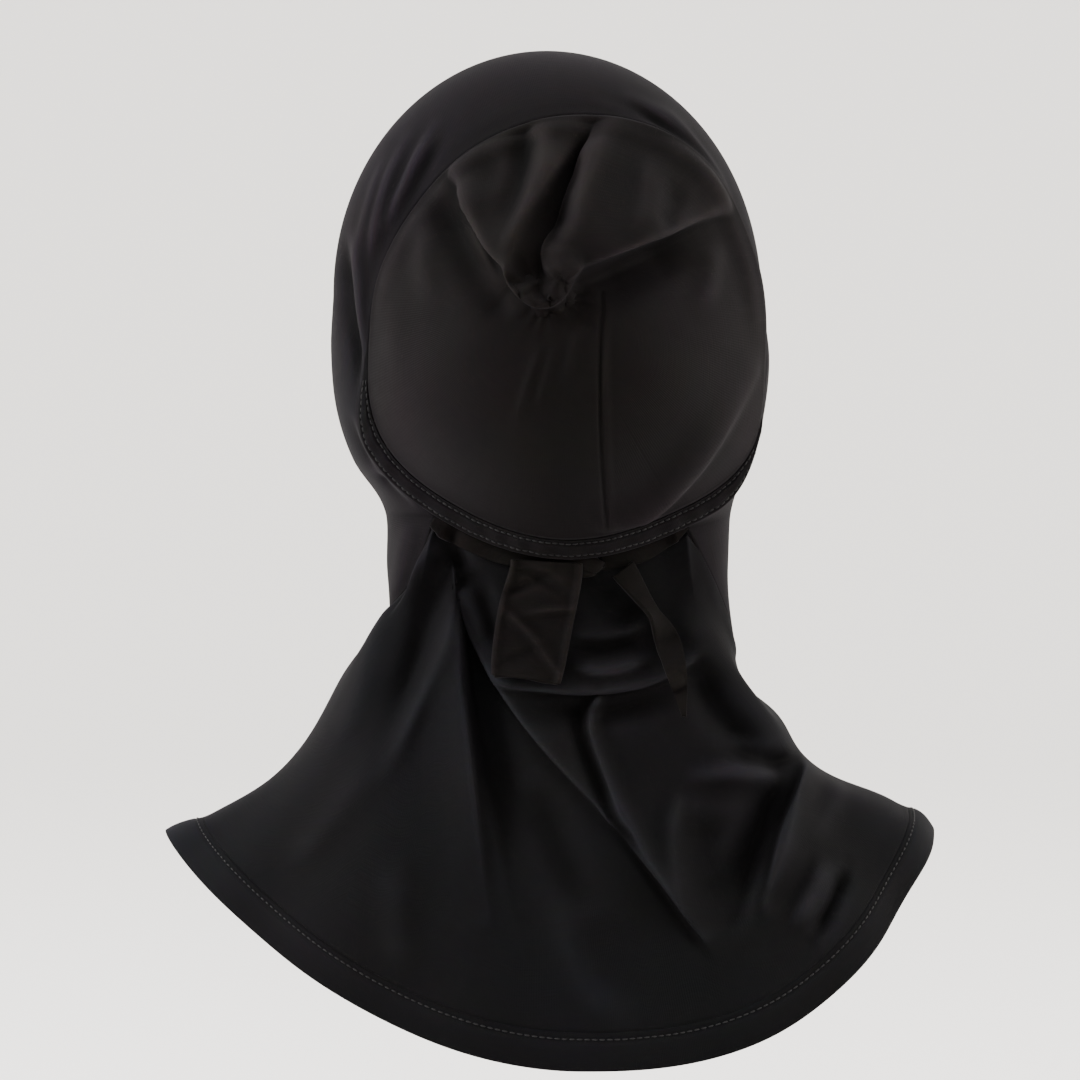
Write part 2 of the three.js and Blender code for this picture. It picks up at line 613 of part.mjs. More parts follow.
const capeColumns = [
  ...throatNecks.map((neck) => {
    const bearing = Math.atan2(neck.x, -neck.y) / DEGREE;
    return { neck, bearing: bearing > 0 ? bearing - 360 : bearing };
  }),
  ...napeNecks.map((neck, i) => ({ neck, bearing: mix(rightBearing, leftBearing, i / NAPE_COLUMNS) })),
];
const wholeCape = (column, down) => capePoint(column.neck, column.bearing, down);
const capeHemShare = capeColumns.map((column) => {
  const edge = wholeCape(column, 1);
  return 1 - (STEP * CAPE_HEM) / edge.distanceTo(wholeCape(column, 1 - STEP));
});
const capeWithHem = raise(
  grid(CAPE_ROWS + 1, capeColumns, (column, share, c) => {
    const bodyEnd = CAPE_ROWS / (CAPE_ROWS + 1);
    const down = share <= bodyEnd ? mix(0, capeHemShare[c], share / bodyEnd) : 1;
    return wholeCape(column, down);
  }),
  CAPE_FOLDS,
  { across: CAPE_HALF_WIDTH, up: BACK_DROP },
  false,
);
const capePoints = capeWithHem.slice(0, CAPE_ROWS + 1);
const capeHemPoints = capeWithHem.slice(CAPE_ROWS).map((row) => row.map((point) => point.clone()));

// Seams

const hoodNormals = normalsOf(hoodPoints, true);
const faceHemNormals = normalsOf(faceHemPoints, true);
const bagNormals = normalsOf(bagPoints, true);
const casingNormals = normalsOf(casingPoints, false);
const capeNormals = normalsOf(capePoints, true);
const capeHemNormals = normalsOf(capeHemPoints, true);

hoodColumns.forEach((_, c) => shareNormals([faceHemNormals[1][c], hoodNormals[0][c]]));
capeColumns.forEach((_, c) => shareNormals([capeHemNormals[0][c], capeNormals[CAPE_ROWS][c]]));
const hoodBack = hoodNormals[HOOD_ROWS];
const capeTop = capeNormals[0];
for (let c = 1; c < THROAT_COLUMNS; c += 1) shareNormals([hoodBack[RING_COLUMNS + c], capeTop[c]]);
bagAngles.forEach((angle, c) => {
  const strip = casingAngles.findIndex((other) => Math.abs(other - casingAngle(angle)) < SAME);
  const hood = c <= RING_COLUMNS ? [hoodBack[c]] : [];
  if (strip < 0) shareNormals([...hood, bagNormals[0][c]]);
  else shareNormals([casingNormals[2][strip], bagNormals[0][c]]);
  if (strip >= 0) shareNormals([...hood, casingNormals[0][strip]]);
});
capeTop[0].copy(hoodBack[RING_COLUMNS]);
capeTop[THROAT_COLUMNS].copy(hoodBack[0]);

const puckerNormals = normalsOf(puckerPoints, true);
puckerNormals[PUCKER_ROWS].forEach((normal) => normal.set(0, -1, 0));

for (const [points, edge, next] of [
  [faceHemPoints, 1, 0],
  [hoodPoints, 0, 1],
  [hoodPoints, HOOD_ROWS, HOOD_ROWS - 1],
  [bagPoints, 0, 1],
  [bagPoints, BAG_ROWS, BAG_ROWS - 1],
  [casingPoints, 0, 1],
  [casingPoints, 2, 1],
  [capePoints, 0, 1],
  [capePoints, CAPE_ROWS, CAPE_ROWS - 1],
  [capeHemPoints, 0, 1],
  [puckerPoints, 0, 1],
]) {
  drawBack(points, edge, next);
}

// Knot and ties, which lie on the cape.

// Where the cape's cloth lies behind a place seen from behind.
function capeDepth(x, z) {
  let depth = Infinity;
  for (const points of [capePoints, capeHemPoints]) {
    for (let r = 0; r < points.length - 1; r += 1) {
      for (let c = 0; c < points[0].length; c += 1) {
        const next = (c + 1) % points[0].length;
        const corners = [points[r][c], points[r][next], points[r + 1][next], points[r + 1][c]];
        for (const [i, j, k] of [[0, 1, 2], [0, 2, 3]]) {
          const [a, b, d] = [corners[i], corners[j], corners[k]];
          const area = (b.x - a.x) * (d.z - a.z) - (d.x - a.x) * (b.z - a.z);
          const u = ((x - a.x) * (d.z - a.z) - (d.x - a.x) * (z - a.z)) / area;
          const v = ((b.x - a.x) * (z - a.z) - (x - a.x) * (b.z - a.z)) / area;
          const inside = u >= 0 && v >= 0 && u + v <= 1;
          if (inside) depth = Math.min(depth, a.y + u * (b.y - a.y) + v * (d.y - a.y));
        }
      }
    }
  }
  return depth;
}

// A tie bridges the small folds under it, so it lies on the highest cloth near each place.
function lyingDepth(x, z) {
  const steps = [-BRIDGE, 0, BRIDGE];
  return Math.min(...steps.flatMap((dx) => steps.map((dz) => capeDepth(x + dx, z + dz))));
}

// A tie along a table's places, which are across and down from its start as shares of its length.
function ribbon(name, table, start, length, width, steps, standOff = () => 0) {
  const columns = Math.max(2, Math.round(width / TIE_COLUMN));
  const place = (t) => new THREE.Vector2(
    start.x + length * read(table, "along", "across", t),
    start.z - length * read(table, "along", "down", t),
  );
  const points = spread(0, 1 + 1 / steps, steps + 1).map((t) => {
    const here = place(t);
    const heading = place(t + 1 / steps).sub(place(t - 1 / steps)).normalize();
    const breadth = width * read(table, "along", "width", t);
    return spread(-0.5, 0.5 + 1 / columns, columns + 1).map((share) => {
      const x = here.x + heading.y * breadth * share;
      const z = here.y - heading.x * breadth * share;
      return new THREE.Vector3(x, lyingDepth(x, z) - LYING_GAP - TIE_WALL - standOff(z), z);
    });
  });
  return shell(name, CAPE_JERSEY, points, normalsOf(points, false), TIE_WALL, false);
}

const knotPlace = { x: KNOT_SHIFT, z: casingEdge(270, 1).z - KNOT_DROP };
const knotDepth = capeDepth(knotPlace.x, knotPlace.z) - KNOT_GAP - KNOT_HALF_DEPTH;
const knot = new THREE.Mesh(
  new THREE.SphereGeometry(1, 16, 10),
  new THREE.MeshStandardMaterial({ color: CAPE_JERSEY, roughness: 0.9 }),
);
knot.name = "tie_knot";
knot.scale.set(KNOT_HALF_WIDTH, KNOT_HALF_DEPTH, KNOT_HALF_HEIGHT);
knot.position.set(knotPlace.x, knotDepth, knotPlace.z);

const strapLeft = { x: leftCorner.x + STRAP_INSET, z: leftCorner.z - STRAP_DROP.left };
const strapRight = { x: rightCorner.x - STRAP_INSET, z: rightCorner.z - STRAP_DROP.right };
const strapLeftSpan = knotPlace.x - KNOT_HALF_WIDTH + KNOT_BITE - strapLeft.x;
const strapRightSpan = strapRight.x - knotPlace.x - KNOT_HALF_WIDTH + KNOT_BITE;
const tailLeft = { x: knotPlace.x - KNOT_HALF_WIDTH, z: knotPlace.z - 0.2 * KNOT_HALF_HEIGHT };
const tailRight = {
  x: knotPlace.x + KNOT_HALF_WIDTH + 0.3 * RIGHT_TAIL_WIDTH,
  z: knotPlace.z - 0.7 * KNOT_HALF_HEIGHT,
};

// The top of the left tail lies over the knot.
function overKnot(z) {
  const clear = knotPlace.z - 3.2 * KNOT_HALF_HEIGHT;
  return (2 * KNOT_HALF_DEPTH + LYING_GAP) * ease(clear, knotPlace.z - KNOT_HALF_HEIGHT, z);
}

const group = new THREE.Group();
group.add(
  knot,
  ribbon("tie_strap_left", STRAP, strapLeft, strapLeftSpan, STRAP_WIDTH, 5),
  ribbon("tie_strap_right", STRAP_MIRRORED, strapRight, strapRightSpan, STRAP_WIDTH, 5),
  ribbon("tie_tail_left", LEFT_TAIL, tailLeft, LEFT_TAIL_LENGTH, LEFT_TAIL_WIDTH, 8, overKnot),
  ribbon("tie_tail_right", RIGHT_TAIL, tailRight, RIGHT_TAIL_LENGTH, RIGHT_TAIL_WIDTH, 9),
  shell("gather_pucker", BLACK_JERSEY, puckerPoints, puckerNormals, CLOTH, true, true),
  shell("face_hem", BLACK_JERSEY, faceHemPoints, faceHemNormals, DOUBLED, true),
  shell("hood_panel", BLACK_JERSEY, hoodPoints, hoodNormals, CLOTH, true),
  shell("back_bag", BLACK_JERSEY, bagPoints, bagNormals, CLOTH, true),
  shell("nape_casing", BLACK_JERSEY, casingPoints, casingNormals, DOUBLED, false),
  shell("neck_cape", CAPE_JERSEY, capePoints, capeNormals, CLOTH, true),
  shell("cape_hem", CAPE_JERSEY, capeHemPoints, capeHemNormals, DOUBLED, true),
);

export default group;
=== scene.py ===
# %% [markdown]
# # A jersey underscarf with a gathered bag at the back
#
# The thing in the photograph is a close hood of thin black jersey. A rounded bag is sewn into its back and
# drawn together at one point, a stitched casing holds two ties at the nape, and a short cape hangs from the
# neckline. The whole thing is cloth, so nearly every piece here is one curved sheet.
#
# A sheet could be sculpted, simulated or worked out. Here each one is worked out: a function of two numbers
# gives every point of it, so that the shape follows the measured solids and can be changed by one number.

import bpy
import numpy as np
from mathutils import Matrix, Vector


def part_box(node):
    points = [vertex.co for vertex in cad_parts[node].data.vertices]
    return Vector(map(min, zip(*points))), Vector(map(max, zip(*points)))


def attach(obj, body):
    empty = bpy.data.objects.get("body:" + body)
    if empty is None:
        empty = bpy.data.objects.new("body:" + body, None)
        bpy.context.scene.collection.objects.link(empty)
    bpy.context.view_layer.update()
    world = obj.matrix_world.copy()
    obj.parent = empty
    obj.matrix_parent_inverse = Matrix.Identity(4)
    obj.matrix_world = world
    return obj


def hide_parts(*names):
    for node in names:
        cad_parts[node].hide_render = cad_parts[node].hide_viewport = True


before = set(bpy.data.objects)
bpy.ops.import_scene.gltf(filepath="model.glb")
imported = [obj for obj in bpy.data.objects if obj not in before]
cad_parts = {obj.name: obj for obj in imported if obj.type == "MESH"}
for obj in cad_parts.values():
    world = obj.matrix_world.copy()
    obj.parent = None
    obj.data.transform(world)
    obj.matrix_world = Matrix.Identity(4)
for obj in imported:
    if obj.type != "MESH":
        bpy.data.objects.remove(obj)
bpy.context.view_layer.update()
print("solids", sorted(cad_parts))

# %% [markdown]
# ## The camera
#
# The picture was taken from behind, a little from above, with a long lens: the hem and the crown are seen
# with almost no foreshortening. One picture point is 0.434 mm at the cap. The camera comes first, because
# the folds further down are measured in the picture's plane.

# %% Camera
MM = 0.001
POINT = 0.434  # millimetres for one point of the 1080 point picture
DISTANCE = 1800.0
ELEVATION = np.radians(4.0)
MIDDLE = np.array([-4.8, -30.0, -207.5])
SENSOR = 36.0
IMAGE = 1080

away = np.array([0.0, -np.cos(ELEVATION), np.sin(ELEVATION)])
eye = MIDDLE + away * (DISTANCE + MIDDLE[1] / np.cos(ELEVATION))
camera = bpy.data.objects.new("photo_camera", bpy.data.cameras.new("photo_camera"))
camera.data.sensor_width = SENSOR
camera.data.lens = SENSOR * (DISTANCE / POINT) / IMAGE
camera.data.clip_end = 100
camera.location = eye * MM
camera.rotation_euler = (np.pi / 2 - ELEVATION, 0, 0)
bpy.context.scene.collection.objects.link(camera)
bpy.context.scene.camera = camera
print("lens", round(camera.data.lens, 1), "mm")

# %% [markdown]
# ## Smooth lines through short tables
#
# A pattern cutter draws a curve through a few measured places. The same is done here: a table gives a few
# rows, and a cubic through them gives every place between. A table that goes right round closes on itself.


# %% A curve through a table
def curve(rows, at, turn=0.0):
    """Reads a table's columns at any place of its first column.

    Between two rows a value follows the cubic that leaves and arrives with the slope between each row's two
    neighbours. With a turn, the table closes on itself after that many degrees.
    """
    rows = np.array(rows, float)
    at = np.asarray(at, float)
    if turn:
        at = rows[0, 0] + np.mod(at - rows[0, 0], turn)
        lap = np.zeros(rows.shape[1])
        lap[0] = turn
        rows = np.vstack([rows[-1] - lap, rows, rows[0] + lap, rows[1] + lap])
    else:
        rows = np.vstack([rows[0], rows, rows[-1]])
    i = np.clip(np.searchsorted(rows[1:-1, 0], at, side="right") - 1, 0, len(rows) - 4)
    before, start, end, after = rows[i], rows[i + 1], rows[i + 2], rows[i + 3]
    span = (end - start)[..., :1]
    share = (at[..., None] - start[..., :1]) / span
    leaving = (end - before) / (end - before)[..., :1] * span
    arriving = (after - start) / (after - start)[..., :1] * span
    rise = end - start
    bend = (leaving + arriving - 2 * rise) * share + 3 * rise - 2 * leaving - arriving
    return (start + share * (leaving + share * bend))[..., 1:]


def mix(a, b, share):
    """The value a share of the way from a to b."""
    return a + (b - a) * share


def ease(start, end, value):
    """0 before start, 1 after end, and the smooth step 3s^2 - 2s^3 between."""
    share = np.clip((value - start) / (end - start), 0, 1)
    return share * share * (3 - 2 * share)


def bell(value, width):
    """exp(-(value / width)^2): 1 at 0, and nearly nothing two widths away."""
    return np.exp(-((value / width) ** 2))


def rows_to(end, count):
    """A column of even steps from 0 to the end, one for each row of a grid."""
    return np.linspace(0, end, count + 1)[:, None]


# %% [markdown]
# ## Folds
#
# Jersey folds in long ridges and valleys, often steep on one side and slow on the other. Simulation gives
# folds, but never the ones in the picture. So each fold is one row of a table: three places that it passes,
# its rise, its width on its left and right, how far its crest leans to its right, and how strong its two
# ends are. The last three are 0 where a row leaves them out. All lengths are millimetres in the picture's
# plane, across and up.


# %% The height and lean of folds
def folds_at(folds, x, z, samples=48):
    """Height and sideways shift in millimetres at the places x, z, seen from behind.

    A fold runs along the parabola through its three places. At the distance d from it the cloth stands out
    by rise * exp(-(d / width)^2), with one width on its left and one on its right. Its strength grows along
    the first third of its length and fades along the last.
    """
    t = np.linspace(0, 1, samples)
    weights = np.stack([(1 - t) * (1 - 2 * t), 4 * t * (1 - t), t * (2 * t - 1)], -1)
    height = np.zeros(x.shape)
    shift = np.zeros(x.shape + (2,))
    place = np.stack([x, z], -1)
    for row in folds:
        a, b, c = np.array(row[:6]).reshape(3, 2)
        rise, left, right, lean, first, last = (*row[6:], 0, 0, 0)[:6]
        line = weights @ np.stack([a, b, c])
        near = np.argmin(((place[..., None, :] - line) ** 2).sum(-1), -1)
        at = t[near]
        for _ in range(2):
            on, way = parabola(a, b, c, at)
            at = np.clip(at + ((place - on) * way).sum(-1) / (way * way).sum(-1), 0, 1)
        on, way = parabola(a, b, c, at)
        way = way / np.linalg.norm(way, axis=-1, keepdims=True)
        off = place - on
        far = np.hypot(off[..., 0], off[..., 1])
        side = (way[..., 0] * off[..., 1] - way[..., 1] * off[..., 0]) / np.maximum(far, 1e-6)
        width = mix(right, left, ease(-1, 1, side))
        strength = mix(first, 1, ease(0, 0.35, at)) * mix(last, 1, ease(1, 0.65, at))
        form = strength * bell(far, width)
        height += rise * form
        shift += lean * form[..., None] * np.stack([way[..., 1], -way[..., 0]], -1)
    return height, shift


def parabola(a, b, c, t):
    """The place at t on the parabola through three places, and its slope there."""
    t = t[..., None]
    place = a * (1 - t) * (1 - 2 * t) + b * 4 * t * (1 - t) + c * t * (2 * t - 1)
    return place, a * (4 * t - 3) + b * (4 - 8 * t) + c * (4 * t - 1)


def normals_of(points, wraps):
    """Unit normals of a grid: the cross product of its direction along a row and down a column."""
    if wraps:
        along = np.roll(points, -1, 1) - np.roll(points, 1, 1)
    else:
        along = np.gradient(points, axis=1)
    down = np.gradient(points, axis=0)
    normals = np.cross(along, down)
    return normals / np.maximum(np.linalg.norm(normals, axis=-1, keepdims=True), 1e-9)


def smooth_grid(values, steps, wraps):
    """Each value becomes the mean of itself and its four neighbours, as many times as steps says."""
    for _ in range(steps):
        if wraps:
            wide = np.concatenate([values[:, -1:], values, values[:, :1]], 1)
        else:
            wide = np.pad(values, ((0, 0), (1, 1)), "edge")
        tall = np.pad(values, ((1, 1), (0, 0)), "edge")
        values = (values + wide[:, :-2] + wide[:, 2:] + tall[:-2] + tall[2:]) / 5
    return values


def smooth_points(points, steps, wraps):
    """The same mean for each of the three coordinates."""
    return np.stack([smooth_grid(points[..., i], steps, wraps) for i in range(3)], -1)


def fold_cloth(points, folds, strength, wraps=True):
    """Moves a grid outwards by the folds' height, and sideways by their lean.

    Outwards is half the cloth's own normal, evened out among its neighbours, and half straight back. So no
    valley crosses itself where the cloth bends sharply.
    """
    normals = normals_of(points, wraps)
    height, shift = folds_at(folds, points[..., 0], points[..., 2])
    facing = ease(0, 0.35, -normals[..., 1])
    out = smooth_points(normals, 60, wraps) + [0, -1, 0]
    out /= np.maximum(np.linalg.norm(out, axis=-1, keepdims=True), 0.01)
    amount = strength * facing
    moved = points + out * (amount * height)[..., None]
    moved[..., ::2] += amount[..., None] * shift
    return moved


# %% [markdown]
# ## From a grid of points to cloth
#
# A grid becomes a mesh with one face for each of its cells. It carries a UV map in metres, measured along the
# cloth, so that the knit keeps its size and runs with the cloth. Solidify then gives it its wall on the inner
# side. A second attribute stores how far each point stands above its surroundings: the material paints ridges
# paler with it, a painted highlight, and valleys darker, painted shade.


# %% The cloth maker
CLOTH, DOUBLED, TIE_WALL, PUCKER_WALL, KNOT_WALL = 1.4, 2.2, 1.8, 1.0, 0.9
RIDGE_STEPS = 10


def all_round(points, wraps):
    """The grid with its first column once more at its end, if it wraps."""
    return np.concatenate([points, points[:, :1]], 1) if wraps else points


def grid_uv(points, wraps):
    """Lengths along the middle row and down the columns, in metres."""
    wide = all_round(points, wraps)
    middle = wide[len(wide) // 2]
    u = np.concatenate([[0], np.cumsum(np.linalg.norm(np.diff(middle, axis=0), axis=1))])
    steps = np.linalg.norm(np.diff(wide, axis=0), axis=2)
    v = np.concatenate([np.zeros((1, wide.shape[1])), np.cumsum(steps, 0)])
    return np.stack([np.broadcast_to(u, v.shape), v], -1) * MM


def cells(rows, spans, turned=False):
    """Row and column numbers of each cell's four corners, along its row first, or down first if turned."""
    r, c = np.meshgrid(np.arange(rows), np.arange(spans), indexing="ij")
    corners = [(r, c), (r, c + 1), (r + 1, c + 1), (r + 1, c)]
    return corners[:1] + corners[:0:-1] if turned else corners


def faces_of(corners, columns):
    """The same corners as point numbers of a grid with that many columns, four for each face."""
    return np.stack([r * columns + c % columns for r, c in corners], -1).reshape(-1, 4)


def piece_of(name, points, faces, material):
    """A smooth mesh of points in millimetres, and its object at the origin."""
    mesh = bpy.data.meshes.new(name)
    mesh.from_pydata((points.reshape(-1, 3) * MM).tolist(), [], faces)
    mesh.materials.append(material)
    mesh.shade_smooth()
    piece = bpy.data.objects.new(name, mesh)
    bpy.context.scene.collection.objects.link(piece)
    return piece


sheets = {}


def cloth(name, solid, points, wall, material, wraps=True, closed=False):
    """A grid of points in millimetres made into a sheet with that wall, in the place of a solid.

    A closed one gets one more face over its last row, where the rows run together in a point.
    """
    rows, columns = points.shape[:2]
    corners = cells(rows - 1, columns if wraps else columns - 1)
    faces = faces_of(corners, columns).tolist()
    uv = grid_uv(points, wraps)
    loops = np.stack([uv[r, c] for r, c in corners], 2).reshape(-1, 2)
    if closed:
        faces.append(list(range((rows - 1) * columns, rows * columns)))
        loops = np.vstack([loops, uv[-1, :columns]])
    piece = piece_of(name, points, faces, material)
    layer = piece.data.uv_layers.new(name="cloth")
    layer.data.foreach_set("uv", loops.astype(np.float32).ravel())
    # Mask for painted light: how far each point stands out, which the material turns into a painted highlight
    # on ridges and painted shade in valleys.
    ridge = ((points - smooth_points(points, RIDGE_STEPS, wraps)) * normals_of(points, wraps)).sum(-1)
    ridge[0], ridge[-1] = 0, 0
    painted_light_ridge = piece.data.attributes.new("ridge", "FLOAT", "POINT")
    painted_light_ridge.data.foreach_set("value", ridge.astype(np.float32).ravel())
    inner_side = piece.modifiers.new("wall", "SOLIDIFY")
    inner_side.thickness = wall * MM
    inner_side.offset = -1
    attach(piece, "root")
    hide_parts(solid)
    sheets[name] = piece, points, wraps
    print(name, "faces", len(faces), "ridge", round(float(ridge.min()), 2), round(float(ridge.max()), 2))


# %% [markdown]
# ## Jersey
#
# Fine jersey is nearly matt. Its loops stand in narrow columns, and stretched cloth shows faint streaks
# across them. Short fibres give a soft sheen where the cloth turns away. Black cotton is never all one
# black: the hood is a little violet, the bag and ties a little brown, and the cape a little blue. The colour
# is painted paler on ridges, a painted highlight, and darker in valleys, painted shade. The knit is bump,
# which is enough for loops of half a millimetre.


# %% Jersey material
def settle(tree, made, settings):
    """Sets a node's inputs. A value that is another node's socket is linked."""
    for key, value in settings.items():
        if isinstance(value, bpy.types.NodeSocket):
            tree.links.new(value, made.inputs[key])
        else:
            made.inputs[key].default_value = value


def node(tree, kind, settings, **attributes):
    """A new node with its attributes and inputs."""
    made = tree.nodes.new("ShaderNode" + kind)
    for key, value in attributes.items():
        setattr(made, key, value)
    settle(tree, made, settings)
    return made


def new_skin(name, settings):
    """A new material, its node tree and its shader."""
    material = bpy.data.materials.new(name)
    material.use_nodes = True
    tree = material.node_tree
    skin = tree.nodes["Principled BSDF"]
    settle(tree, skin, settings)
    return material, tree, skin


def bump(tree, height, strength, distance, **under):
    """The normal of a bump with that height, laid over another normal where one is given."""
    settings = {"Height": height, "Strength": strength, "Distance": distance * MM, **under}
    return node(tree, "Bump", settings).outputs[0]


def blend(tree, kind, share, below, above):
    """Two colours blended by that share."""
    settings = {"Factor": share, 6: below, 7: above}
    return node(tree, "Mix", settings, data_type="RGBA", blend_type=kind).outputs[2]


def jersey(name, colour, painted_shade, painted_highlight, grain):
    """Fine black jersey: its colour on the flat, painted shade in the valleys and a painted highlight on the
    ridges.
    """
    material, tree, skin = new_skin(name, {
        "Roughness": 0.78, "Specular IOR Level": 0.03,
        "Sheen Weight": 0.012, "Sheen Roughness": 0.45, "Sheen Tint": (0.72, 0.66, 0.76, 1),
    })

    # Colour: broad mottling, then painted shade in the valleys and a painted highlight on the ridges, by how
    # far the cloth stands out.
    place = node(tree, "TexCoord", {}).outputs["Object"]
    broad = node(tree, "TexNoise", {"Vector": place, "Scale": 14.0, "Detail": 3.0, "Roughness": 0.55})
    ridge = node(tree, "Attribute", {}, attribute_name="ridge").outputs["Fac"]
    spread = node(tree, "MapRange", {"Value": ridge, "From Min": -1.2, "From Max": 1.2})
    ramp = node(tree, "ValToRGB", {"Fac": spread.outputs[0]})
    stops = ramp.color_ramp.elements
    # Painted shade in the deepest valleys, the cloth's colour on the flat, a painted highlight on the highest
    # ridges.
    stops[0].position, stops[0].color = 0.1, (*painted_shade, 1)
    stops[1].position, stops[1].color = 0.5, (*colour, 1)
    stops.new(0.95).color = (*painted_highlight, 1)
    mottle = blend(tree, "MULTIPLY", 0.35, ramp.outputs["Color"], broad.outputs["Color"])

    # Knit: narrow columns of loops, streaks across them, and a little fluff.
    sheet = node(tree, "UVMap", {}, uv_map="cloth").outputs[0]
    knit = {"Vector": sheet, "Scale": 420.0 * grain, "Distortion": 1.2, "Detail": 1.0}
    columns = node(tree, "TexWave", knit, bands_direction="X")
    stretch = node(tree, "Mapping", {"Vector": sheet, "Scale": (90, 900, 1)}).outputs[0]
    streaks = node(tree, "TexNoise", {"Vector": stretch, "Scale": 1.0, "Detail": 4.0, "Roughness": 0.6})
    loops = bump(tree, columns.outputs["Fac"], 0.25, 0.12)
    settle(tree, skin, {
        "Normal": bump(tree, streaks.outputs["Fac"], 0.5, 0.25, Normal=loops),
        "Base Color": blend(tree, "OVERLAY", 0.35, mottle, streaks.outputs["Color"]),
    })
    return material


# Name, then the cloth's own colour, its painted shade in valleys, its painted highlight on ridges, and the
# fineness of its knit.
DYES = [
    ("hood_jersey_knit", (0.0030, 0.0024, 0.0029), (0.0011, 0.0009, 0.0010), (0.0085, 0.0068, 0.0085), 1),
    ("bag_jersey_knit", (0.0028, 0.0022, 0.0022), (0.0010, 0.0008, 0.0008), (0.0085, 0.0068, 0.0072), 1),
    ("cape_jersey_knit", (0.0023, 0.0022, 0.0025), (0.0010, 0.0009, 0.0010), (0.0068, 0.0067, 0.0080), 1),
    ("hem_jersey_knit", (0.0026, 0.0022, 0.0024), (0.0010, 0.0009, 0.0009), (0.0075, 0.0066, 0.0074), 0.9),
    ("tie_jersey_knit", (0.0028, 0.0023, 0.0021), (0.0010, 0.0008, 0.0008), (0.0085, 0.0070, 0.0066), 1.1),
]
hood_jersey, bag_jersey, cape_jersey, hem_jersey, tie_jersey = [jersey(*dye) for dye in DYES]

print("materials", [dye[0] for dye in DYES])


# %% Sewing thread
def thread_material():
    """Twisted black thread: slightly glossier than the jersey, with its twist as a fine bump."""
    material, tree, skin = new_skin("black_thread", {"Roughness": 0.5, "Specular IOR Level": 0.2})
    place = node(tree, "TexCoord", {}).outputs["Object"]
    noise = node(tree, "TexNoise", {"Vector": place, "Scale": 900.0, "Detail": 2.0}).outputs["Fac"]
    ramp = node(tree, "ValToRGB", {"Fac": noise})
    ramp.color_ramp.elements[0].color = (0.0014, 0.0012, 0.0013, 1)
    ramp.color_ramp.elements[1].color = (0.0034, 0.0029, 0.0032, 1)
    settle(tree, skin, {"Base Color": ramp.outputs["Color"], "Normal": bump(tree, noise, 0.4, 0.1)})
    return material


black_thread = thread_material()

# %% [markdown]
# ## The lines that the pieces share
#
# Three lines are sewn: the bag's rim, the outer edge of the casing round the rim's lower half, and the throat
# seam. Both pieces at a seam are drawn from the same line, so they meet wherever the line goes.

# %% Measured lines
BAG_RADIUS, BAG_OFFSET, BAG_DROP, BAG_SEAT = 88.0, 5.0, 117.0, 70.0
CASING, CASING_OUT, CASING_FORWARD = 9.5, 0.88, 0.46
CASING_LEFT, CASING_RIGHT, CASING_GROWTH, CASING_TIP, TIP_LENGTH = 190.0, 332.0, 22.0, 0.12, 4.0
LEFT_CORNER, RIGHT_CORNER = 235.5, 302.0
NECK_HALF_WIDTH, NECK_DEPTH, NECK_DROP = 70.0, 46.0, 251.0

# Angle round the bag's middle, radius as a share of BAG_RADIUS, depth as a share of BAG_SEAT.
RIM = [
    (-10, 0.99, 0.585), (20, 0.965, 0.6), (54, 1.035, 0.81), (90, 1, 1), (115, 0.95, 0.94),
    (145, 0.905, 0.83), (180, 0.92, 0.757), (210, 1.01, 0.8), (240, 0.98, 0.93), (270, 0.99, 1.1),
    (298, 1.01, 0.91), (325, 1.075, 0.74),
]

# Angle, then shares of the neck's half width, depth and drop.
THROAT = [
    (243, -0.83, -1.13, 0.884), (250, -0.986, -0.65, 0.948), (258, -0.8, 0.3, 0.976), (270, 0, 1.02, 1),
    (282, 0.886, 0.39, 0.988), (290, 1.11, -0.61, 0.996), (296, 1, -1.02, 0.9),
]


def rim(angle):
    """The bag's rim: a circle seen from behind whose radius and depth follow the table."""
    radius, depth = np.moveaxis(curve(RIM, angle, 360), -1, 0)
    turn = np.radians(angle)
    return np.stack([
        BAG_OFFSET + BAG_RADIUS * radius * np.cos(turn),
        -BAG_SEAT * depth,
        -BAG_DROP + BAG_RADIUS * radius * np.sin(turn),
    ], -1)


def casing_edge(angle, share):
    """The rim moved outwards and forwards by a share of the casing's width, which fades at both ends."""
    angle = np.asarray(angle, float)
    turned = np.where(angle < 90, angle + 360, angle)
    grown = ease(CASING_LEFT, CASING_LEFT + CASING_GROWTH, turned)
    grown *= ease(CASING_RIGHT, CASING_RIGHT - CASING_GROWTH, turned)
    tip = ease(CASING_LEFT - TIP_LENGTH, CASING_LEFT, turned)
    tip *= ease(CASING_RIGHT + TIP_LENGTH, CASING_RIGHT, turned)
    width = CASING * tip * mix(CASING_TIP, 1, grown) * share
    turn = np.radians(angle)
    edge = rim(angle)
    edge[..., 0] += width * CASING_OUT * np.cos(turn)
    edge[..., 1] += width * CASING_FORWARD
    edge[..., 2] += width * CASING_OUT * np.sin(turn)
    return edge


left_corner = casing_edge(LEFT_CORNER, 1)
right_corner = casing_edge(RIGHT_CORNER, 1)
throat_rows = (
    [(LEFT_CORNER, *left_corner)]
    + [(a, NECK_HALF_WIDTH * x, NECK_DEPTH * y, -NECK_DROP * z) for a, x, y, z in THROAT]
    + [(RIGHT_CORNER, *right_corner)]
)
print("corners", left_corner.round(1), right_corner.round(1))

# %% [markdown]
# ## The hood
#
# The hood is one panel from the front opening to the bag's rim, closed below the opening. Its columns run
# from the front edge back over the widest line. On both halves the cloth turns in like an ellipse, so two
# elliptic arcs that meet at the widest line give a shape that is round everywhere and has no crease there.

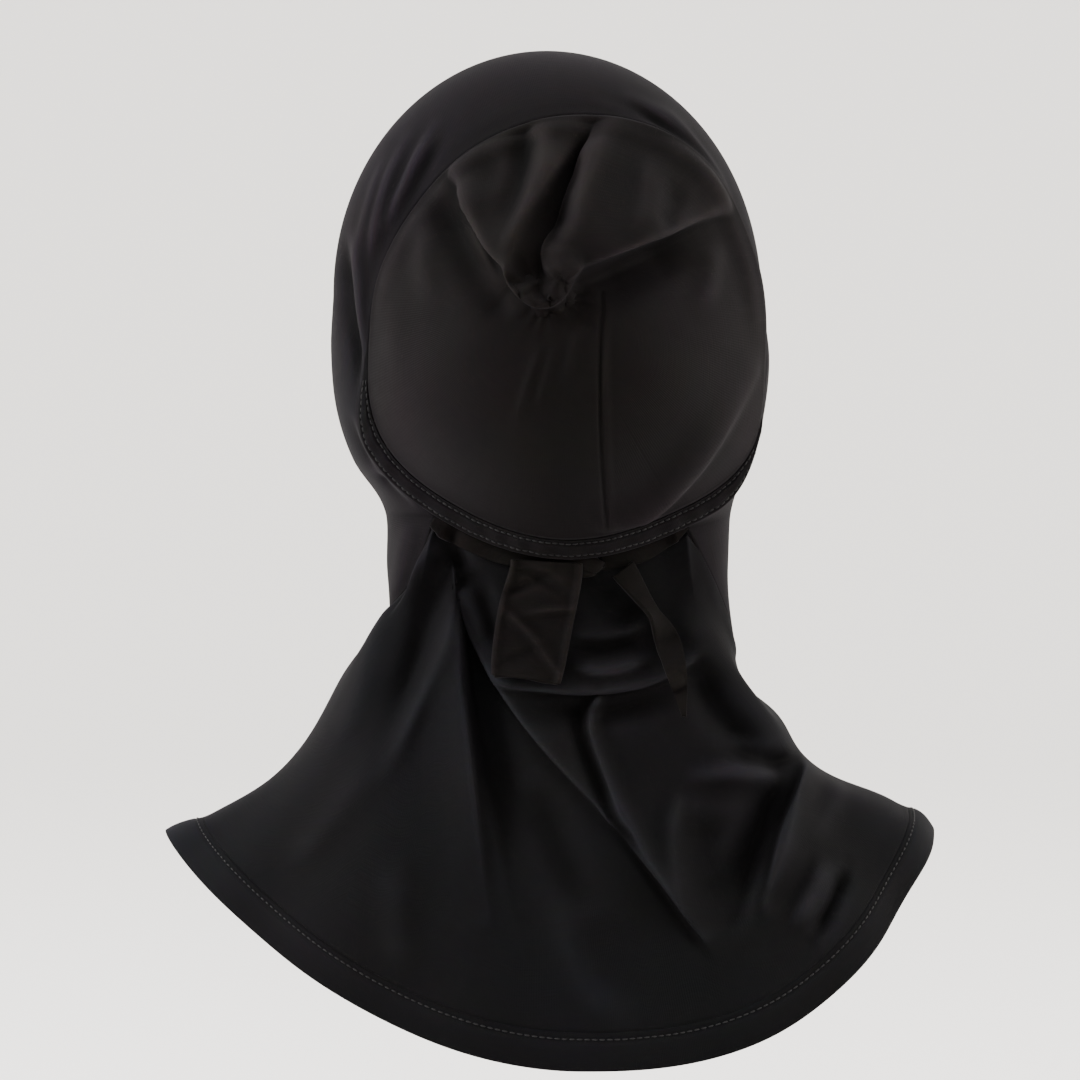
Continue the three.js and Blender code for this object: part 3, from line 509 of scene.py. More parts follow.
# %% Hood shape
HOOD_HALF_WIDTH, HOOD_HALF_HEIGHT, HOOD_HEIGHT, CROWN_OFFSET = 92.0, 104.0, 243.0, -2.0
BROW_REACH, TEMPLE_REACH, FACE_SWEEP = 84.0, 42.0, 1.7
FACE_HALF_WIDTH, FACE_HALF_HEIGHT, FACE_DROP, FACE_HEM = 64.0, 88.0, 132.0, 10.0
FACE_TURN, BACK_TURN = np.radians(60), np.radians(65)

# Angle, then shares of the hood's half width, the brow's reach and the hood's height.
SIDES = [
    (180, -1, 0, 0.424), (192, -1.013, 0.02, 0.523), (205, -0.99, 0.05, 0.625), (218, -0.913, 0.06, 0.716),
    (235.5, -0.761, 0.02, 0.81), (250, -0.734, -0.06, 0.94), (258, -0.6, 0.3, 0.985), (270, 0.02, 0.81, 1),
    (282, 0.685, 0.3, 0.985), (290, 0.826, -0.06, 0.95), (302, 0.87, 0.02, 0.81), (318, 0.946, 0.06, 0.724),
    (335, 1.011, 0.05, 0.642), (350, 1.043, 0.02, 0.535), (360, 1, 0, 0.424),
]


def face_edge(angle):
    """An ellipse seen from the front, whose edge comes forwards at its top and its foot."""
    side, rise = np.cos(np.radians(angle)), np.sin(np.radians(angle))
    return np.stack([
        FACE_HALF_WIDTH * side,
        mix(TEMPLE_REACH, BROW_REACH, np.abs(rise) ** FACE_SWEEP),
        -FACE_DROP + FACE_HALF_HEIGHT * rise,
    ], -1)


def widest(angle):
    """Half an ellipse over the crown, and the table's line down the sides and below the opening."""
    turn = np.radians(angle)
    crown = np.stack([
        CROWN_OFFSET + HOOD_HALF_WIDTH * np.cos(turn),
        0 * turn,
        CLOTH - HOOD_HALF_HEIGHT + HOOD_HALF_HEIGHT * np.sin(turn),
    ], -1)
    turned = np.where(angle < 0, angle + 360, angle)
    scale = np.array([HOOD_HALF_WIDTH, BROW_REACH, -HOOD_HEIGHT])
    low = curve(SIDES, turned) * scale + [CROWN_OFFSET, 0, 0]
    over = (angle >= 0) & (angle <= 180)
    return np.where(over[..., None], crown, low)


def hood_surface(angle, share, back):
    """Two elliptic arcs: share 0 is the face edge, 0.5 the widest line and 1 the back edge."""
    front = (share < 0.5)[..., None]
    middle = widest(angle)
    end = np.where(front, face_edge(angle), back)
    turn = np.where(front, FACE_TURN, BACK_TURN)
    theta = turn * np.abs(1 - 2 * share)[..., None]
    inward = (1 - np.cos(theta)) / (1 - np.cos(turn))
    along = np.sin(theta) / np.sin(turn)
    return middle + (end - middle) * np.concatenate([inward, along, inward], -1)


# %% [markdown]
# The hood is pulled tight from the crown to the bag, so long thin ridges run beside the rim on both sides.
# Low on the left side the cloth is pinched by the casing, and there the picture shows a pucker.

# %% Hood with its folds
RING, THROAT_COLUMNS = 240, 200
HOOD_FOLDS = [
    # x0, z0, x1, z1, x2, z2, rise, left, right, lean, first, last
    (-49, -32, -60, -54, -72, -84, 2.4, 3, 2.2, 0.6, 0.2, 0),
    (-45, -36, -55, -55, -66, -80, -1.6, 2, 2),
    (-61, -37, -71, -64, -77, -94, 2.6, 3, 2.4, 0.6, 0.2, 0),
    (-67, -40, -77, -66, -84, -100, 2.0, 3, 2.4),
    (-88, -74, -86, -110, -76, -152, -7, 3, 4, 0, 0, 0.3),
    (-83, -70, -81, -104, -77, -134, 2.2, 3, 3),
    (-76, -150, -68, -168, -57, -182, -3.4, 3, 4, 0, 0.3, 0),
    (-90, -149, -73, -174, -54, -192, -3.6, 3.6, 5),
    (-80, -173, -70, -177, -62, -176, 2.2, 2.5, 3),
    (-74, -180, -68, -178, -61, -170, -1.8, 2, 2.5),
    (14, -22, 42, -36, 70, -61, 2.4, 2.8, 2.2),
    (24, -17, 54, -36, 76, -68, 2.6, 3, 2.2),
    (30, -20, 52, -40, 73, -66, -2.6, 2.6, 2.6),
    (37, -19, 64, -43, 82, -77, 2.6, 3, 2.2),
    (46, -24, 70, -50, 85, -84, -2.4, 2.6, 2.6),
    (84, -100, 88, -122, 86, -148, 2.2, 4, 3),
    (-58, -196, -63, -214, -66, -240, 2.0, 4, 4),
    (52, -208, 60, -232, 72, -250, 3.0, 2.6, 3, 0, 0.2, 0),
    (59, -204, 66, -226, 74, -248, -3.6, 2.8, 3, 0, 0, 0.1),
]

ring_angles = np.linspace(RIGHT_CORNER - 360, LEFT_CORNER, RING, endpoint=False)
throat_angles = np.linspace(LEFT_CORNER, RIGHT_CORNER, THROAT_COLUMNS, endpoint=False)
hood_angles = np.concatenate([ring_angles, throat_angles])
hood_back = np.concatenate([casing_edge(ring_angles, 1), curve(throat_rows, throat_angles)])


def hood_grid(shares):
    """The hood's surface at rows of shares, for every column round the face."""
    wide = np.broadcast_to(hood_angles, shares.shape)
    return hood_surface(wide, shares, np.broadcast_to(hood_back, shares.shape + (3,)))


zero = np.zeros((1, len(hood_angles)))
STEP = 0.1
hem_share = STEP * FACE_HEM / np.linalg.norm(hood_grid(zero) - hood_grid(zero + STEP), axis=-1)
HOOD_ROWS, FACE_HEM_ROWS = 64, 16
panel_rows = rows_to(1, HOOD_ROWS)
panel_shares = mix(hem_share, 1, panel_rows)
panel = hood_grid(panel_shares)
over_ring = np.concatenate([np.ones(RING), np.zeros(THROAT_COLUMNS)])
upper = ease(-0.2, 0.35, np.sin(np.radians(hood_angles))) * over_ring
free = ease(0, 0.15, panel_rows) * (1 - ease(0.9, 1, panel_rows))
panel = fold_cloth(panel, HOOD_FOLDS, free)

# The seam allowance lies under the hood along the bag's rim and lifts it into a narrow welt.
WELT, HOOD_WELT_WIDTH, BAG_WELT_WIDTH = 1.4, 3.0, 2.6


def welt_at(turn):
    """The welt's height at an angle in radians: it grows and shrinks as the cloth is pulled unevenly."""
    return WELT * (0.8 + 0.45 * np.sin(2 * turn + 0.4) + 0.2 * np.sin(7 * turn))


to_back = np.linalg.norm(panel - panel[-1:], axis=-1)
welt = welt_at(np.radians(hood_angles)) * upper * bell(to_back, HOOD_WELT_WIDTH)
panel += normals_of(panel, True) * welt[..., None]
cloth("hood_cloth", "hood_panel", panel, CLOTH, hood_jersey)

# %% [markdown]
# ## The hem of the front opening
#
# The edge of the opening is turned under and stitched. On the real one that is two layers. Here it is one
# thicker sheet on the same surface, raised a little, with a shallow groove where the needle pulls it down.

# %% Face hem
FACE_SEAM = 0.82  # share of the hem's width
face_rows = rows_to(1, FACE_HEM_ROWS)
face_band = hood_grid(face_rows * hem_share)
crown_of_band = 0.5 * np.sin(np.pi * face_rows) ** 0.5 - 0.5 * bell(face_rows - FACE_SEAM, 0.06)
face_band += normals_of(face_band, True) * (crown_of_band * np.ones_like(hem_share))[..., None]
cloth("face_hem_cloth", "face_hem", face_band, DOUBLED, hem_jersey)

# %% [markdown]
# ## The gathered bag
#
# The bag is filled low down and slack above. It is drawn together at one point, so the slack cloth over that
# point falls down in two lips with deep pockets under them. The rays from the gather point to the rim are
# one parameter and the angle is the other. The power of the curve along a ray makes the lower half round and
# the upper half flatter.

# %% Bag shape
GATHER_REACH, GATHER_OFFSET, GATHER_DROP = 122.0, -1.0, 101.0
LOWER_BULGE, BAG_ROUNDNESS = 14.0, 2.6
PUCKER_RADIUS, PUCKER_HEIGHT = 8.0, 2.0

BAG_FOLDS = [
    # x0, z0, x1, z1, x2, z2, rise, left, right, lean, first, last
    (-38, -52, -26, -74, -13, -96, 10, 18, 2.6, 5.5, 0.25, 0.55),
    (9, -90, 31, -79.5, 63, -68.5, 11, 18, 2.6, 5.5, 0.55, 0.4),
    (-14, -94, -2.5, -104.5, 9, -92, 7, 6, 2.2, 3.2, 0.6, 0.6),
    (-43, -58, -38, -80, -22, -103, -9, 6, 9, 0, 0.1, 0.6),
    (-36, -60, -27, -79, -17, -98, -5, 3, 4, 0, 0.1, 0.4),
    (12, -100, 36, -90, 62, -78, -9, 5, 10, 0, 0.6, 0.1),
    (13, -96, 33, -85.5, 56, -76, -5, 3, 4, 0, 0.6, 0.1),
    (-48, -62, -53, -88, -46, -112, 2.4, 5, 5, 0, 0.1, 0),
    (66, -76, 66, -94, 58, -114, 2.4, 5, 5, 0, 0.1, 0),
    (19, -34, 9, -61, -2, -90, -14, 3.6, 8, 0, 0.2, 0.5),
    (21, -31, 13, -53, 2, -78, 5.5, 13, 2.3, 4.6, 0.2, 0.6),
    (2, -78, 0, -87, 4, -95, 4, 7, 2.2, 2.6, 0.5, 0.3),
    (13, -36, -5, -59, -15, -91, 5, 3.4, 6, -1.4, 0.1, 0.9),
    (-10.5, -32, -12.6, -57, -19, -86, -6, 3.2, 7, 0, 0.5, 0.3),
    (-4, -32, -3, -44, -7, -60, 2, 4, 3),
    (-24, -42, -24, -62, -25, -84, -3, 5, 6),
    (40, -42, 36, -62, 27, -80, 2.6, 8, 4),
    (52, -54, 46, -66, 38, -74, -2.2, 4, 5),
    (42, -36, 60, -48, 68, -64, 2.4, 3.5, 9, 0, 0, 0.5),
    (21, -100, 19.5, -150, 23, -199, -0.9, 0.8, 0.8, 0, 0.6, 0.8),
    (24, -100, 22.4, -150, 26, -199, 0.35, 1.2, 1.8, 0, 0, 0.6),
    (24, -199, 49, -184, 84, -136, 4, 8, 3, 1.8, 0.4, 0.3),
    (-2, -117, -9, -136, -16, -158, 0.9, 3, 2.2),
    (4, -116, -2, -134, -6, -150, 0.8, 2.4, 2),
    (11, -113, 8, -124, 5, -140, 0.7, 2.4, 2),
    (-60, -82, -66, -110, -62, -142, 1.8, 6, 6),
]


def swell(share):
    """share * (1 - share^2), scaled so that its highest value is 1."""
    return share * (1 - share * share) / (2 / 27**0.5)


def bag_surface(angle, share):
    """A ray from the gather point, share 0, to the rim, share 1, that bulges more the lower it points."""
    angle = np.broadcast_to(angle, share.shape)
    edge = rim(angle)
    low = np.sin(np.radians(angle))
    bulge = LOWER_BULGE * (0.5 - 0.5 * low) ** 2 * swell(share)
    across = (edge[..., 0] - GATHER_OFFSET) * share
    up = (edge[..., 2] + GATHER_DROP) * share
    depth = edge[..., 1] - (GATHER_REACH + edge[..., 1]) * (1 - share ** (BAG_ROUNDNESS - low)) - bulge
    return np.stack([GATHER_OFFSET + across, depth, -GATHER_DROP + up], -1)


# %% [markdown]
# Close to the gather point the cloth is crowded into small pleats. They run along the rays, die out within
# two centimetres, and are stronger above than below, where the bag is filled.

# %% Bag with its folds
NAPE_BAG, BAG_ROWS = 170, 96
PLEATS, PLEAT_HEIGHT, PLEAT_FADE = 13, 0.9, 9.0
ROLL_HEIGHT, ROLL_INSET, ROLL_WIDTH = 2.2, 4.5, 3.2


def ray_length(angles):
    """How far the rim lies from the gather point along each ray, seen from behind."""
    return np.hypot(*(rim(angles)[:, ::2] - [GATHER_OFFSET, -GATHER_DROP]).T)


nape_angles = np.linspace(LEFT_CORNER, RIGHT_CORNER, NAPE_BAG, endpoint=False)
bag_angles = np.concatenate([ring_angles, nape_angles])
rim_reach = ray_length(bag_angles)
bag_shares = mix(1, PUCKER_RADIUS / rim_reach, rows_to(1, BAG_ROWS))
bag = bag_surface(bag_angles, bag_shares)
bag = fold_cloth(bag, BAG_FOLDS, 1 - ease(0.955, 1, bag_shares))
bag_turn = np.radians(bag_angles)
pleats = np.cos(PLEATS * bag_turn + 1.6 * np.sin(3 * bag_turn))
pleats = pleats * np.exp(-((bag_shares * rim_reach - PUCKER_RADIUS) / PLEAT_FADE))
bag[..., 1] -= PLEAT_HEIGHT * mix(0.35, 1, ease(-0.3, 0.6, np.sin(bag_turn))) * pleats
bag_upper = ease(-0.2, 0.35, np.sin(bag_turn))
to_rim = (1 - bag_shares) * rim_reach
roll = ROLL_HEIGHT * bell(to_rim - ROLL_INSET, ROLL_WIDTH) * (0.75 + 0.25 * np.sin(3 * bag_turn + 1))
raised = roll + welt_at(bag_turn) * bell(to_rim, BAG_WELT_WIDTH)
bag += normals_of(bag, True) * (bag_upper * raised)[..., None]
cloth("bag_cloth", "back_bag", bag, CLOTH, bag_jersey)

# %% [markdown]
# ## The pucker
#
# Where the gathering thread is drawn tight, the cloth is crowded into a few crinkles at the foot of the deep
# fold. It is a cap of the same rays under the same folds. The sharp creases between its lobes come from the
# absolute value of a sine, which is round on top and pointed below.

# %% Pucker
PUCKER_COLUMNS, PUCKER_ROWS = 240, 44
pucker_angles = np.linspace(0, 360, PUCKER_COLUMNS, endpoint=False)
pucker_turn = np.radians(pucker_angles)
pucker_rows = rows_to(0.99, PUCKER_ROWS)
uneven = 1.3 + 0.14 * np.cos(3 * pucker_turn + 0.6) + 0.07 * np.cos(5 * pucker_turn - 1)
pucker = bag_surface(pucker_angles, PUCKER_RADIUS * uneven * (1 - pucker_rows) / ray_length(pucker_angles))
pucker_x, pucker_z = pucker[..., 0] - GATHER_OFFSET, pucker[..., 2] + GATHER_DROP
pucker = fold_cloth(pucker, BAG_FOLDS, 1)
across = 0.55 * pucker_x + 0.12 * pucker_z + 0.35 * np.sin(0.8 * pucker_z)
lobes = np.abs(np.sin(0.8 * across + 0.4)) + 0.3 * np.abs(np.sin(0.4 * pucker_z - 0.3 * pucker_x + 1))
rounded = np.sin(np.pi / 2 * np.minimum(1, pucker_rows * 1.7)) ** 0.7
pucker[..., 1] -= (PUCKER_HEIGHT + 2.2 * (lobes - 0.8)) * rounded - 0.6
cloth("bag_pucker", "gather_pucker", pucker, PUCKER_WALL, bag_jersey, closed=True)

# %% [markdown]
# ## The casing
#
# A doubled band runs round the lower half of the bag and carries the ties. It is stitched along both edges,
# which leaves it slightly domed between two grooves. Small puckers cross it where the ties pull it together.

# %% Casing
CASING_COLUMNS, CASING_ROWS, CASING_SEAMS = 420, 20, (0.2, 0.82)
casing_angles = np.linspace(CASING_LEFT - TIP_LENGTH + 0.5, CASING_RIGHT + TIP_LENGTH - 0.5, CASING_COLUMNS)
casing_rows = rows_to(1, CASING_ROWS)
full = np.ones((CASING_ROWS + 1, CASING_COLUMNS))
casing = casing_edge(casing_angles * full, (1 - casing_rows) * full)
band_width = np.linalg.norm(casing[0] - casing[-1], axis=-1)
dome = 0.9 * np.sin(np.pi * casing_rows) ** 0.6
pressed = [bell(casing_rows - at, 0.07) for at in CASING_SEAMS]
casing_turn = np.radians(casing_angles)
waves = 0.35 * np.cos(casing_turn * 46 + 2 * np.sin(casing_turn * 7)) * np.sin(np.pi * casing_rows)
lift = (dome - 0.75 * sum(pressed) + waves) * ease(1.5, 7, band_width) + 0.3
casing += normals_of(casing, False) * lift[..., None]
cloth("casing_band", "nape_casing", casing, DOUBLED, hem_jersey, wraps=False)

# %% [markdown]
# ## The cape
#
# The cape leaves the throat seam and the casing and widens like a bell. Its columns point in every direction,
# and its rows go down. At the top it has the neckline's own shape, and it leaves that shape as a power of the
# way down, so the hem is a clean curve.

# %% Cape shape
NAPE_RECESS, NAPE_TUCK, CORNER_DROP = 11.0, 7.0, 3.0
CAPE_HALF_WIDTH, CAPE_BACK, CAPE_FRONT, CAPE_SWAY = 167.0, 115.0, 98.0, 12.0
SHOULDER_DROP, BACK_DROP, FRONT_DROP, CAPE_HEM = 336.0, 420.0, 408.0, 15.0
TIP_SHARPNESS_LEFT, TIP_SHARPNESS_RIGHT, NECK_FADE = 2.0, 2.8, 2.2

# Share of the way down, then left width and drop, right width and drop, back depth and front depth.
CAPE = [
    (0, 0.413, 0.705, 0.46, 0.69, 0.56, 0.48), (0.2, 0.545, 0.771, 0.505, 0.774, 0.63, 0.58),
    (0.35, 0.6, 0.824, 0.61, 0.821, 0.7, 0.65), (0.5, 0.659, 0.878, 0.653, 0.878, 0.78, 0.73),
    (0.65, 0.743, 0.926, 0.743, 0.92, 0.86, 0.81), (0.8, 0.85, 0.958, 0.868, 0.943, 0.93, 0.89),
    (0.9, 0.937, 0.979, 0.952, 0.964, 0.97, 0.945), (1, 1, 1, 0.994, 1, 1, 1),
]


def cape_form(bearing, down):
    """A bell: width times the sine of the bearing, depth times its cosine, and the drop mixed between
    the drop at the middle and the drop at the side by a power of the sine."""
    side, back = np.sin(np.radians(bearing)), np.cos(np.radians(bearing))
    left_x, left_z, right_x, right_z, back_y, front_y = np.moveaxis(curve(CAPE, down), -1, 0)
    right = side > 0
    width = CAPE_HALF_WIDTH * np.where(right, right_x, left_x)
    side_drop = SHOULDER_DROP * np.where(right, right_z, left_z)
    depth = np.where(back > 0, CAPE_BACK * back_y, CAPE_FRONT * front_y)
    behind = mix(GATHER_DROP + BAG_RADIUS, BACK_DROP, down)
    middle_drop = np.where(back > 0, behind, mix(NECK_DROP, FRONT_DROP, down))
    sideways = np.abs(side) ** np.where(right, TIP_SHARPNESS_RIGHT, TIP_SHARPNESS_LEFT)
    sway = np.where(back > 0, CAPE_SWAY * down * back * back, 0)
    return np.stack([width * side + sway, -back * depth, -mix(middle_drop, side_drop, sideways)], -1)


NAPE_COLUMNS = 200
along_nape = np.arange(NAPE_COLUMNS) / NAPE_COLUMNS
nape_turn = mix(RIGHT_CORNER, LEFT_CORNER, along_nape)
inwards = np.sin(np.pi * along_nape) ** 0.6
nape_neck = casing_edge(nape_turn, 1)
nape_neck[:, 0] -= 0.5 * NAPE_RECESS * inwards * np.cos(np.radians(nape_turn))
nape_neck[:, 1] += NAPE_RECESS * inwards
nape_neck[:, 2] += mix(-CORNER_DROP, NAPE_TUCK, ease(0.35, 0.75, inwards))
throat_neck = curve(throat_rows, throat_angles)
first_column = (RIGHT_CORNER - LEFT_CORNER) / 28
near_corner = np.minimum(throat_angles - LEFT_CORNER, RIGHT_CORNER - throat_angles) / first_column
throat_neck[:, 2] -= CORNER_DROP * np.clip(1 - near_corner, 0, 1)
throat_bearing = np.degrees(np.arctan2(throat_neck[:, 0], -throat_neck[:, 1]))
throat_bearing = np.where(throat_bearing > 0, throat_bearing - 360, throat_bearing)
corner_bearings = [np.degrees(np.arctan2(c[0], -c[1])) for c in (right_corner, left_corner)]
neck = np.concatenate([throat_neck, nape_neck])
bearings = np.concatenate([throat_bearing, mix(*corner_bearings, along_nape)])


def cape_surface(down):
    """The bell, moved by the neckline's offset from it times a power of what is left of the way down."""
    wide = np.broadcast_to(bearings, down.shape)
    offset = neck - cape_form(bearings, np.zeros_like(bearings))
    return cape_form(wide, down) + offset * ((1 - down) ** NECK_FADE)[..., None]


# %% [markdown]
# The folds of the cape are what the picture is about. A tall ridge falls from the left corner, a long edge
# runs from there down to the right, the cloth under the ties is crumpled, and on the right a fold turns over
# the slope and drops into a bowl. Each is a row below, in the order in which the eye meets them.

# %% Cape with its folds
CAPE_FOLDS = [
    # x0, z0, x1, z1, x2, z2, rise, left, right, lean, first, last
    (-46, -203, -67, -234, -90, -292, 5, 5, 8, 0, 0.5, 0),
    (-45, -216, -55, -250, -78, -306, -7, 6, 7, 0, 0.6, 0),
    (-43, -224, -50, -258, -74, -312, 4, 4.5, 5, 0, 0.2, 0),
    (-41, -220, -39, -272, -27, -356, 10, 3.2, 10, -3, 0.25, 0.1),
    (-37, -226, -31, -276, -12, -356, -7, 12, 4, 0, 0.6, 0.1),
    (-43, -203, -40, -210, -35, -220, -6, 4, 4, 0, 0.9, 0.5),
    (-40, -212, -21, -261, 26, -317, 6.5, 11, 2.6, 4, 0.4, 0.55),
    (26, -317, 48, -344, 72, -380, 6, 10.5, 2.8, 3.6, 0.5, 0),
    (19, -272, 24, -300, 64, -366, 3, 3, 2, 1, 0.9, 0.3),
    (15, -272, 20, -301, 60, -366, -3.4, 2.4, 4, 0, 0.6, 0.2),
    (20, -268, 19, -274, 17, -282, 2.6, 2, 2, 0, 0.5, 0.5),
    (52, -224, 71, -259, 109, -300, 6, 9, 8, 1, 0, 0.6),
    (62, -250, 72, -276, 92, -297, -8, 6, 8, 0, 0.2, 0.2),
    (110, -300, 101, -324, 90, -354, 10, 9, 2.8, 4, 0.6, 0.2),
    (98, -304, 88, -328, 76, -358, -9, 4, 11, 0, 0.5, 0.2),
    (108, -301, 90, -298, 66, -291, -6, 4, 4, 0, 0.6, 0),
    (100, -310, 80, -302, 50, -304, 5, 5, 7, 0, 0.3, 0),
    (64, -312, 64, -336, 74, -364, -6, 11, 11, 0, 0.2, 0.2),
    (54, -304, 51, -332, 62, -364, 3.6, 4, 5),
    (125, -342, 118, -357, 108, -371, -5, 3.2, 4, 0, 0.1, 0.2),
    (116, -336, 108, -352, 98, -368, 3.2, 5, 4),
    (2, -332, 12, -378, 38, -404, 2.8, 8, 8),
    (-16, -262, 22, -265.5, 56, -257, 6, 9, 2, 3.4, 0.5, 0.4),
    (-12, -272, 22, -275, 52, -267, -3, 3, 6, 0, 0.2, 0.2),
    (4, -246, 22, -249, 42, -243, -3, 2.6, 3),
    (6, -254, 24, -257, 46, -250, 3, 3, 2, 0.8, 0, 0),
    (16, -221, 28, -231, 37, -242, -4.5, 7, 7, 0, 0.6, 0),
    (-30, -222, -24, -236, -20, -250, -3, 3, 3, 0, 0.3, 0),
    (-64, -238, -78, -270, -98, -302, 1.8, 5, 5),
    (-70, -290, -92, -322, -118, -346, 3, 7, 7),
    (-60, -330, -64, -360, -60, -388, 2.6, 8, 8),
    (-10, -300, 4, -330, 16, -358, -4, 8, 8),
    (128, -300, 118, -322, 104, -336, 2.8, 6, 6),
]
CAPE_ROWS, HEM_ROWS, ROUNDING_STEPS = 110, 12, 120
hem_rows = rows_to(1, HEM_ROWS)
one = np.ones((1, len(bearings)))
last_step = np.linalg.norm(cape_surface(one) - cape_surface(one - STEP), axis=-1)
hem_start = 1 - STEP * CAPE_HEM / last_step
cape_shares = np.concatenate([
    hem_start * np.linspace(0, 1, CAPE_ROWS, endpoint=False)[:, None],
    mix(hem_start, 1, hem_rows),
])
whole_cape = cape_surface(cape_shares)

# Below each end of the casing the neckline turns a corner. Cloth rounds such a corner off on its way down.
rounding = ease(0.02, 0.15, cape_shares) * ease(1, 0.85, cape_shares)
whole_cape = mix(whole_cape, smooth_points(whole_cape, ROUNDING_STEPS, True), rounding[..., None])
whole_cape = fold_cloth(whole_cape, CAPE_FOLDS, ease(0, 0.06, cape_shares))

# Slack along the hem waves it a little all round, in front as well as behind.
wave = 1.3 * np.sin(np.radians(bearings) * 9 + 1.1) + 0.9 * np.sin(np.radians(bearings) * 16)
whole_cape += normals_of(whole_cape, True) * (wave * ease(0.45, 1, cape_shares))[..., None]
cloth("cape_cloth", "neck_cape", whole_cape[: CAPE_ROWS + 1], CLOTH, cape_jersey)

# %% [markdown]
# ## The cape's hem
#
# The lower edge is turned up by 15 mm and stitched once. The doubled cloth is stiffer, so it keeps the fold's
# shape but stands a little proud, and the stitching presses a fine groove along its upper side.

# %% Cape hem
hem = whole_cape[CAPE_ROWS:]
hem_lift = 0.55 * ease(0, 0.12, hem_rows) - 0.6 * bell(hem_rows - 0.14, 0.07)
hem = hem + normals_of(hem, True) * (hem_lift * one)[..., None]
cloth("cape_hem_cloth", "cape_hem", hem, DOUBLED, cape_jersey)

# %% [markdown]
# ## The ties
#
# The ties come out of the casing, run to a knot under it and hang over the cape. They lie on the cape, so
# their depth is read from it: the cloth that stands furthest out within a few millimetres carries the tie.

# %% Where a tie lies
LOWEST_TIE = -300.0
cloth_behind = whole_cape[:, THROAT_COLUMNS:].reshape(-1, 3)
cloth_behind = cloth_behind[cloth_behind[:, 2] > LOWEST_TIE]


def lying_depth(x, z, reach=4.0):
    """The smallest depth of the cape's points within reach of each place, softened over the distance."""
    gap = np.hypot(x[..., None] - cloth_behind[:, 0], z[..., None] - cloth_behind[:, 2])
    sunk = cloth_behind[:, 1] + 0.35 * np.maximum(0, gap - reach) ** 2
    return sunk.min(-1)


def ribbon(rows, steps, columns):
    """Points across and along a tie. Each row has a place, a width, a twist in degrees and a stand-off.

    The width is laid across the tie's way and turned round that way by the twist.
    """
    t = np.linspace(0, 1, steps + 1)
    x, z, width, twist, off = np.moveaxis(curve(rows, t), -1, 0)
    way = np.stack([np.gradient(x), np.gradient(z)], -1)
    way /= np.linalg.norm(way, axis=-1, keepdims=True)
    share = np.linspace(-0.5, 0.5, columns + 1)
    turn = np.radians(twist)
    flat = np.cos(turn)[:, None] * width[:, None] * share
    out = np.sin(turn)[:, None] * width[:, None] * share
    px = x[:, None] + way[:, 1:] * flat
    pz = z[:, None] - way[:, :1] * flat
    py = lying_depth(px, pz) - off[:, None] - out - 0.5 * np.abs(np.sin(turn) * width)[:, None]
    return np.stack([px, py, pz], -1)


# %% [markdown]
# The straps show just under the casing. The left tail is broad and soft, with rolled edges and a few creases
# across it. The right tail hangs edge-on from the knot, then turns its face out and ends in a point.

# %% Straps and tails
# Share of the way, across, up, width, twist and stand-off.
STRAP_LEFT = [
    (0, -50, -197, 5, 0, 0.4), (0.15, -43.5, -201.5, 7.5, 0, 1.3), (0.5, -24, -210, 8, 0, 1.9),
    (1, -1, -214.5, 7.5, 0, 1.9),
]
STRAP_RIGHT = [
    (0, 56, -199, 5, 0, 0.4), (0.2, 50, -203.5, 7.5, 0, 1.3), (0.5, 38, -210.5, 8, 0, 1.9),
    (1, 21, -214.5, 7.5, 0, 1.9),
]
TAIL_LEFT = [
    (0, -2, -213.5, 30, 0, 8), (0.12, -2.4, -219, 30.5, 0, 7.2), (0.5, -6.5, -236, 32, 0, 3.4),
    (0.85, -9.6, -254, 31, 0, 2.3), (1, -10.6, -261.5, 29, 0, 2.3),
]
TAIL_RIGHT = [
    (0, 30, -217, 11, 10, 4.5), (0.2, 37, -226.5, 9, 40, 3.4), (0.38, 43.5, -235.5, 7, 52, 3),
    (0.52, 47.5, -243.5, 9, 10, 3.4), (0.64, 50, -251, 10.5, -14, 4.2), (0.84, 53, -264, 8, -26, 7),
    (1, 55, -277, 1.8, -24, 9.5),
]
CREASES = [
    # across, down, slope, width, height: creases of a soft tail, as shares of its width and length
    (-0.18, 0.42, 0.25, 0.05, 1.8), (0.1, 0.62, -0.35, 0.05, 1.5), (0.3, 0.3, 0.5, 0.06, -1.6),
    (-0.3, 0.84, -0.5, 0.05, 1.5), (0.05, 0.16, -0.2, 0.06, -1.6), (0.2, 0.86, 0.3, 0.05, -1.2),
]
CREASE_LENGTH = 0.34
soft_tail = ribbon(TAIL_LEFT, 60, 40)
across_tail = np.linspace(-0.5, 0.5, 41)[None, :]
down_tail = rows_to(1, 60)
for at, down, slope, width, height in CREASES:
    off = down_tail - down - slope * (across_tail - at)
    soft_tail[..., 1] -= height * bell(off, width) * bell(across_tail - at, CREASE_LENGTH)
edge_roll = 1.3 * bell(np.abs(across_tail) - 0.46, 0.05)
soft_tail[..., 1] -= edge_roll + 1.2 * ease(0.8, 1, down_tail) * (across_tail + 0.5)
for place, points in {
    "strap_left": ribbon(STRAP_LEFT, 60, 10), "strap_right": ribbon(STRAP_RIGHT, 50, 10),
    "tail_left": soft_tail, "tail_right": ribbon(TAIL_RIGHT, 80, 14),
}.items():
    cloth(place + "_cloth", "tie_" + place, points, TIE_WALL, tie_jersey, wraps=False)

# %% [markdown]
# ## The knot
#
# The knot is a turn of doubled jersey pulled flat under the casing. A squashed ball is its size, and two
# slanting grooves round it show where one tie passes over the other.

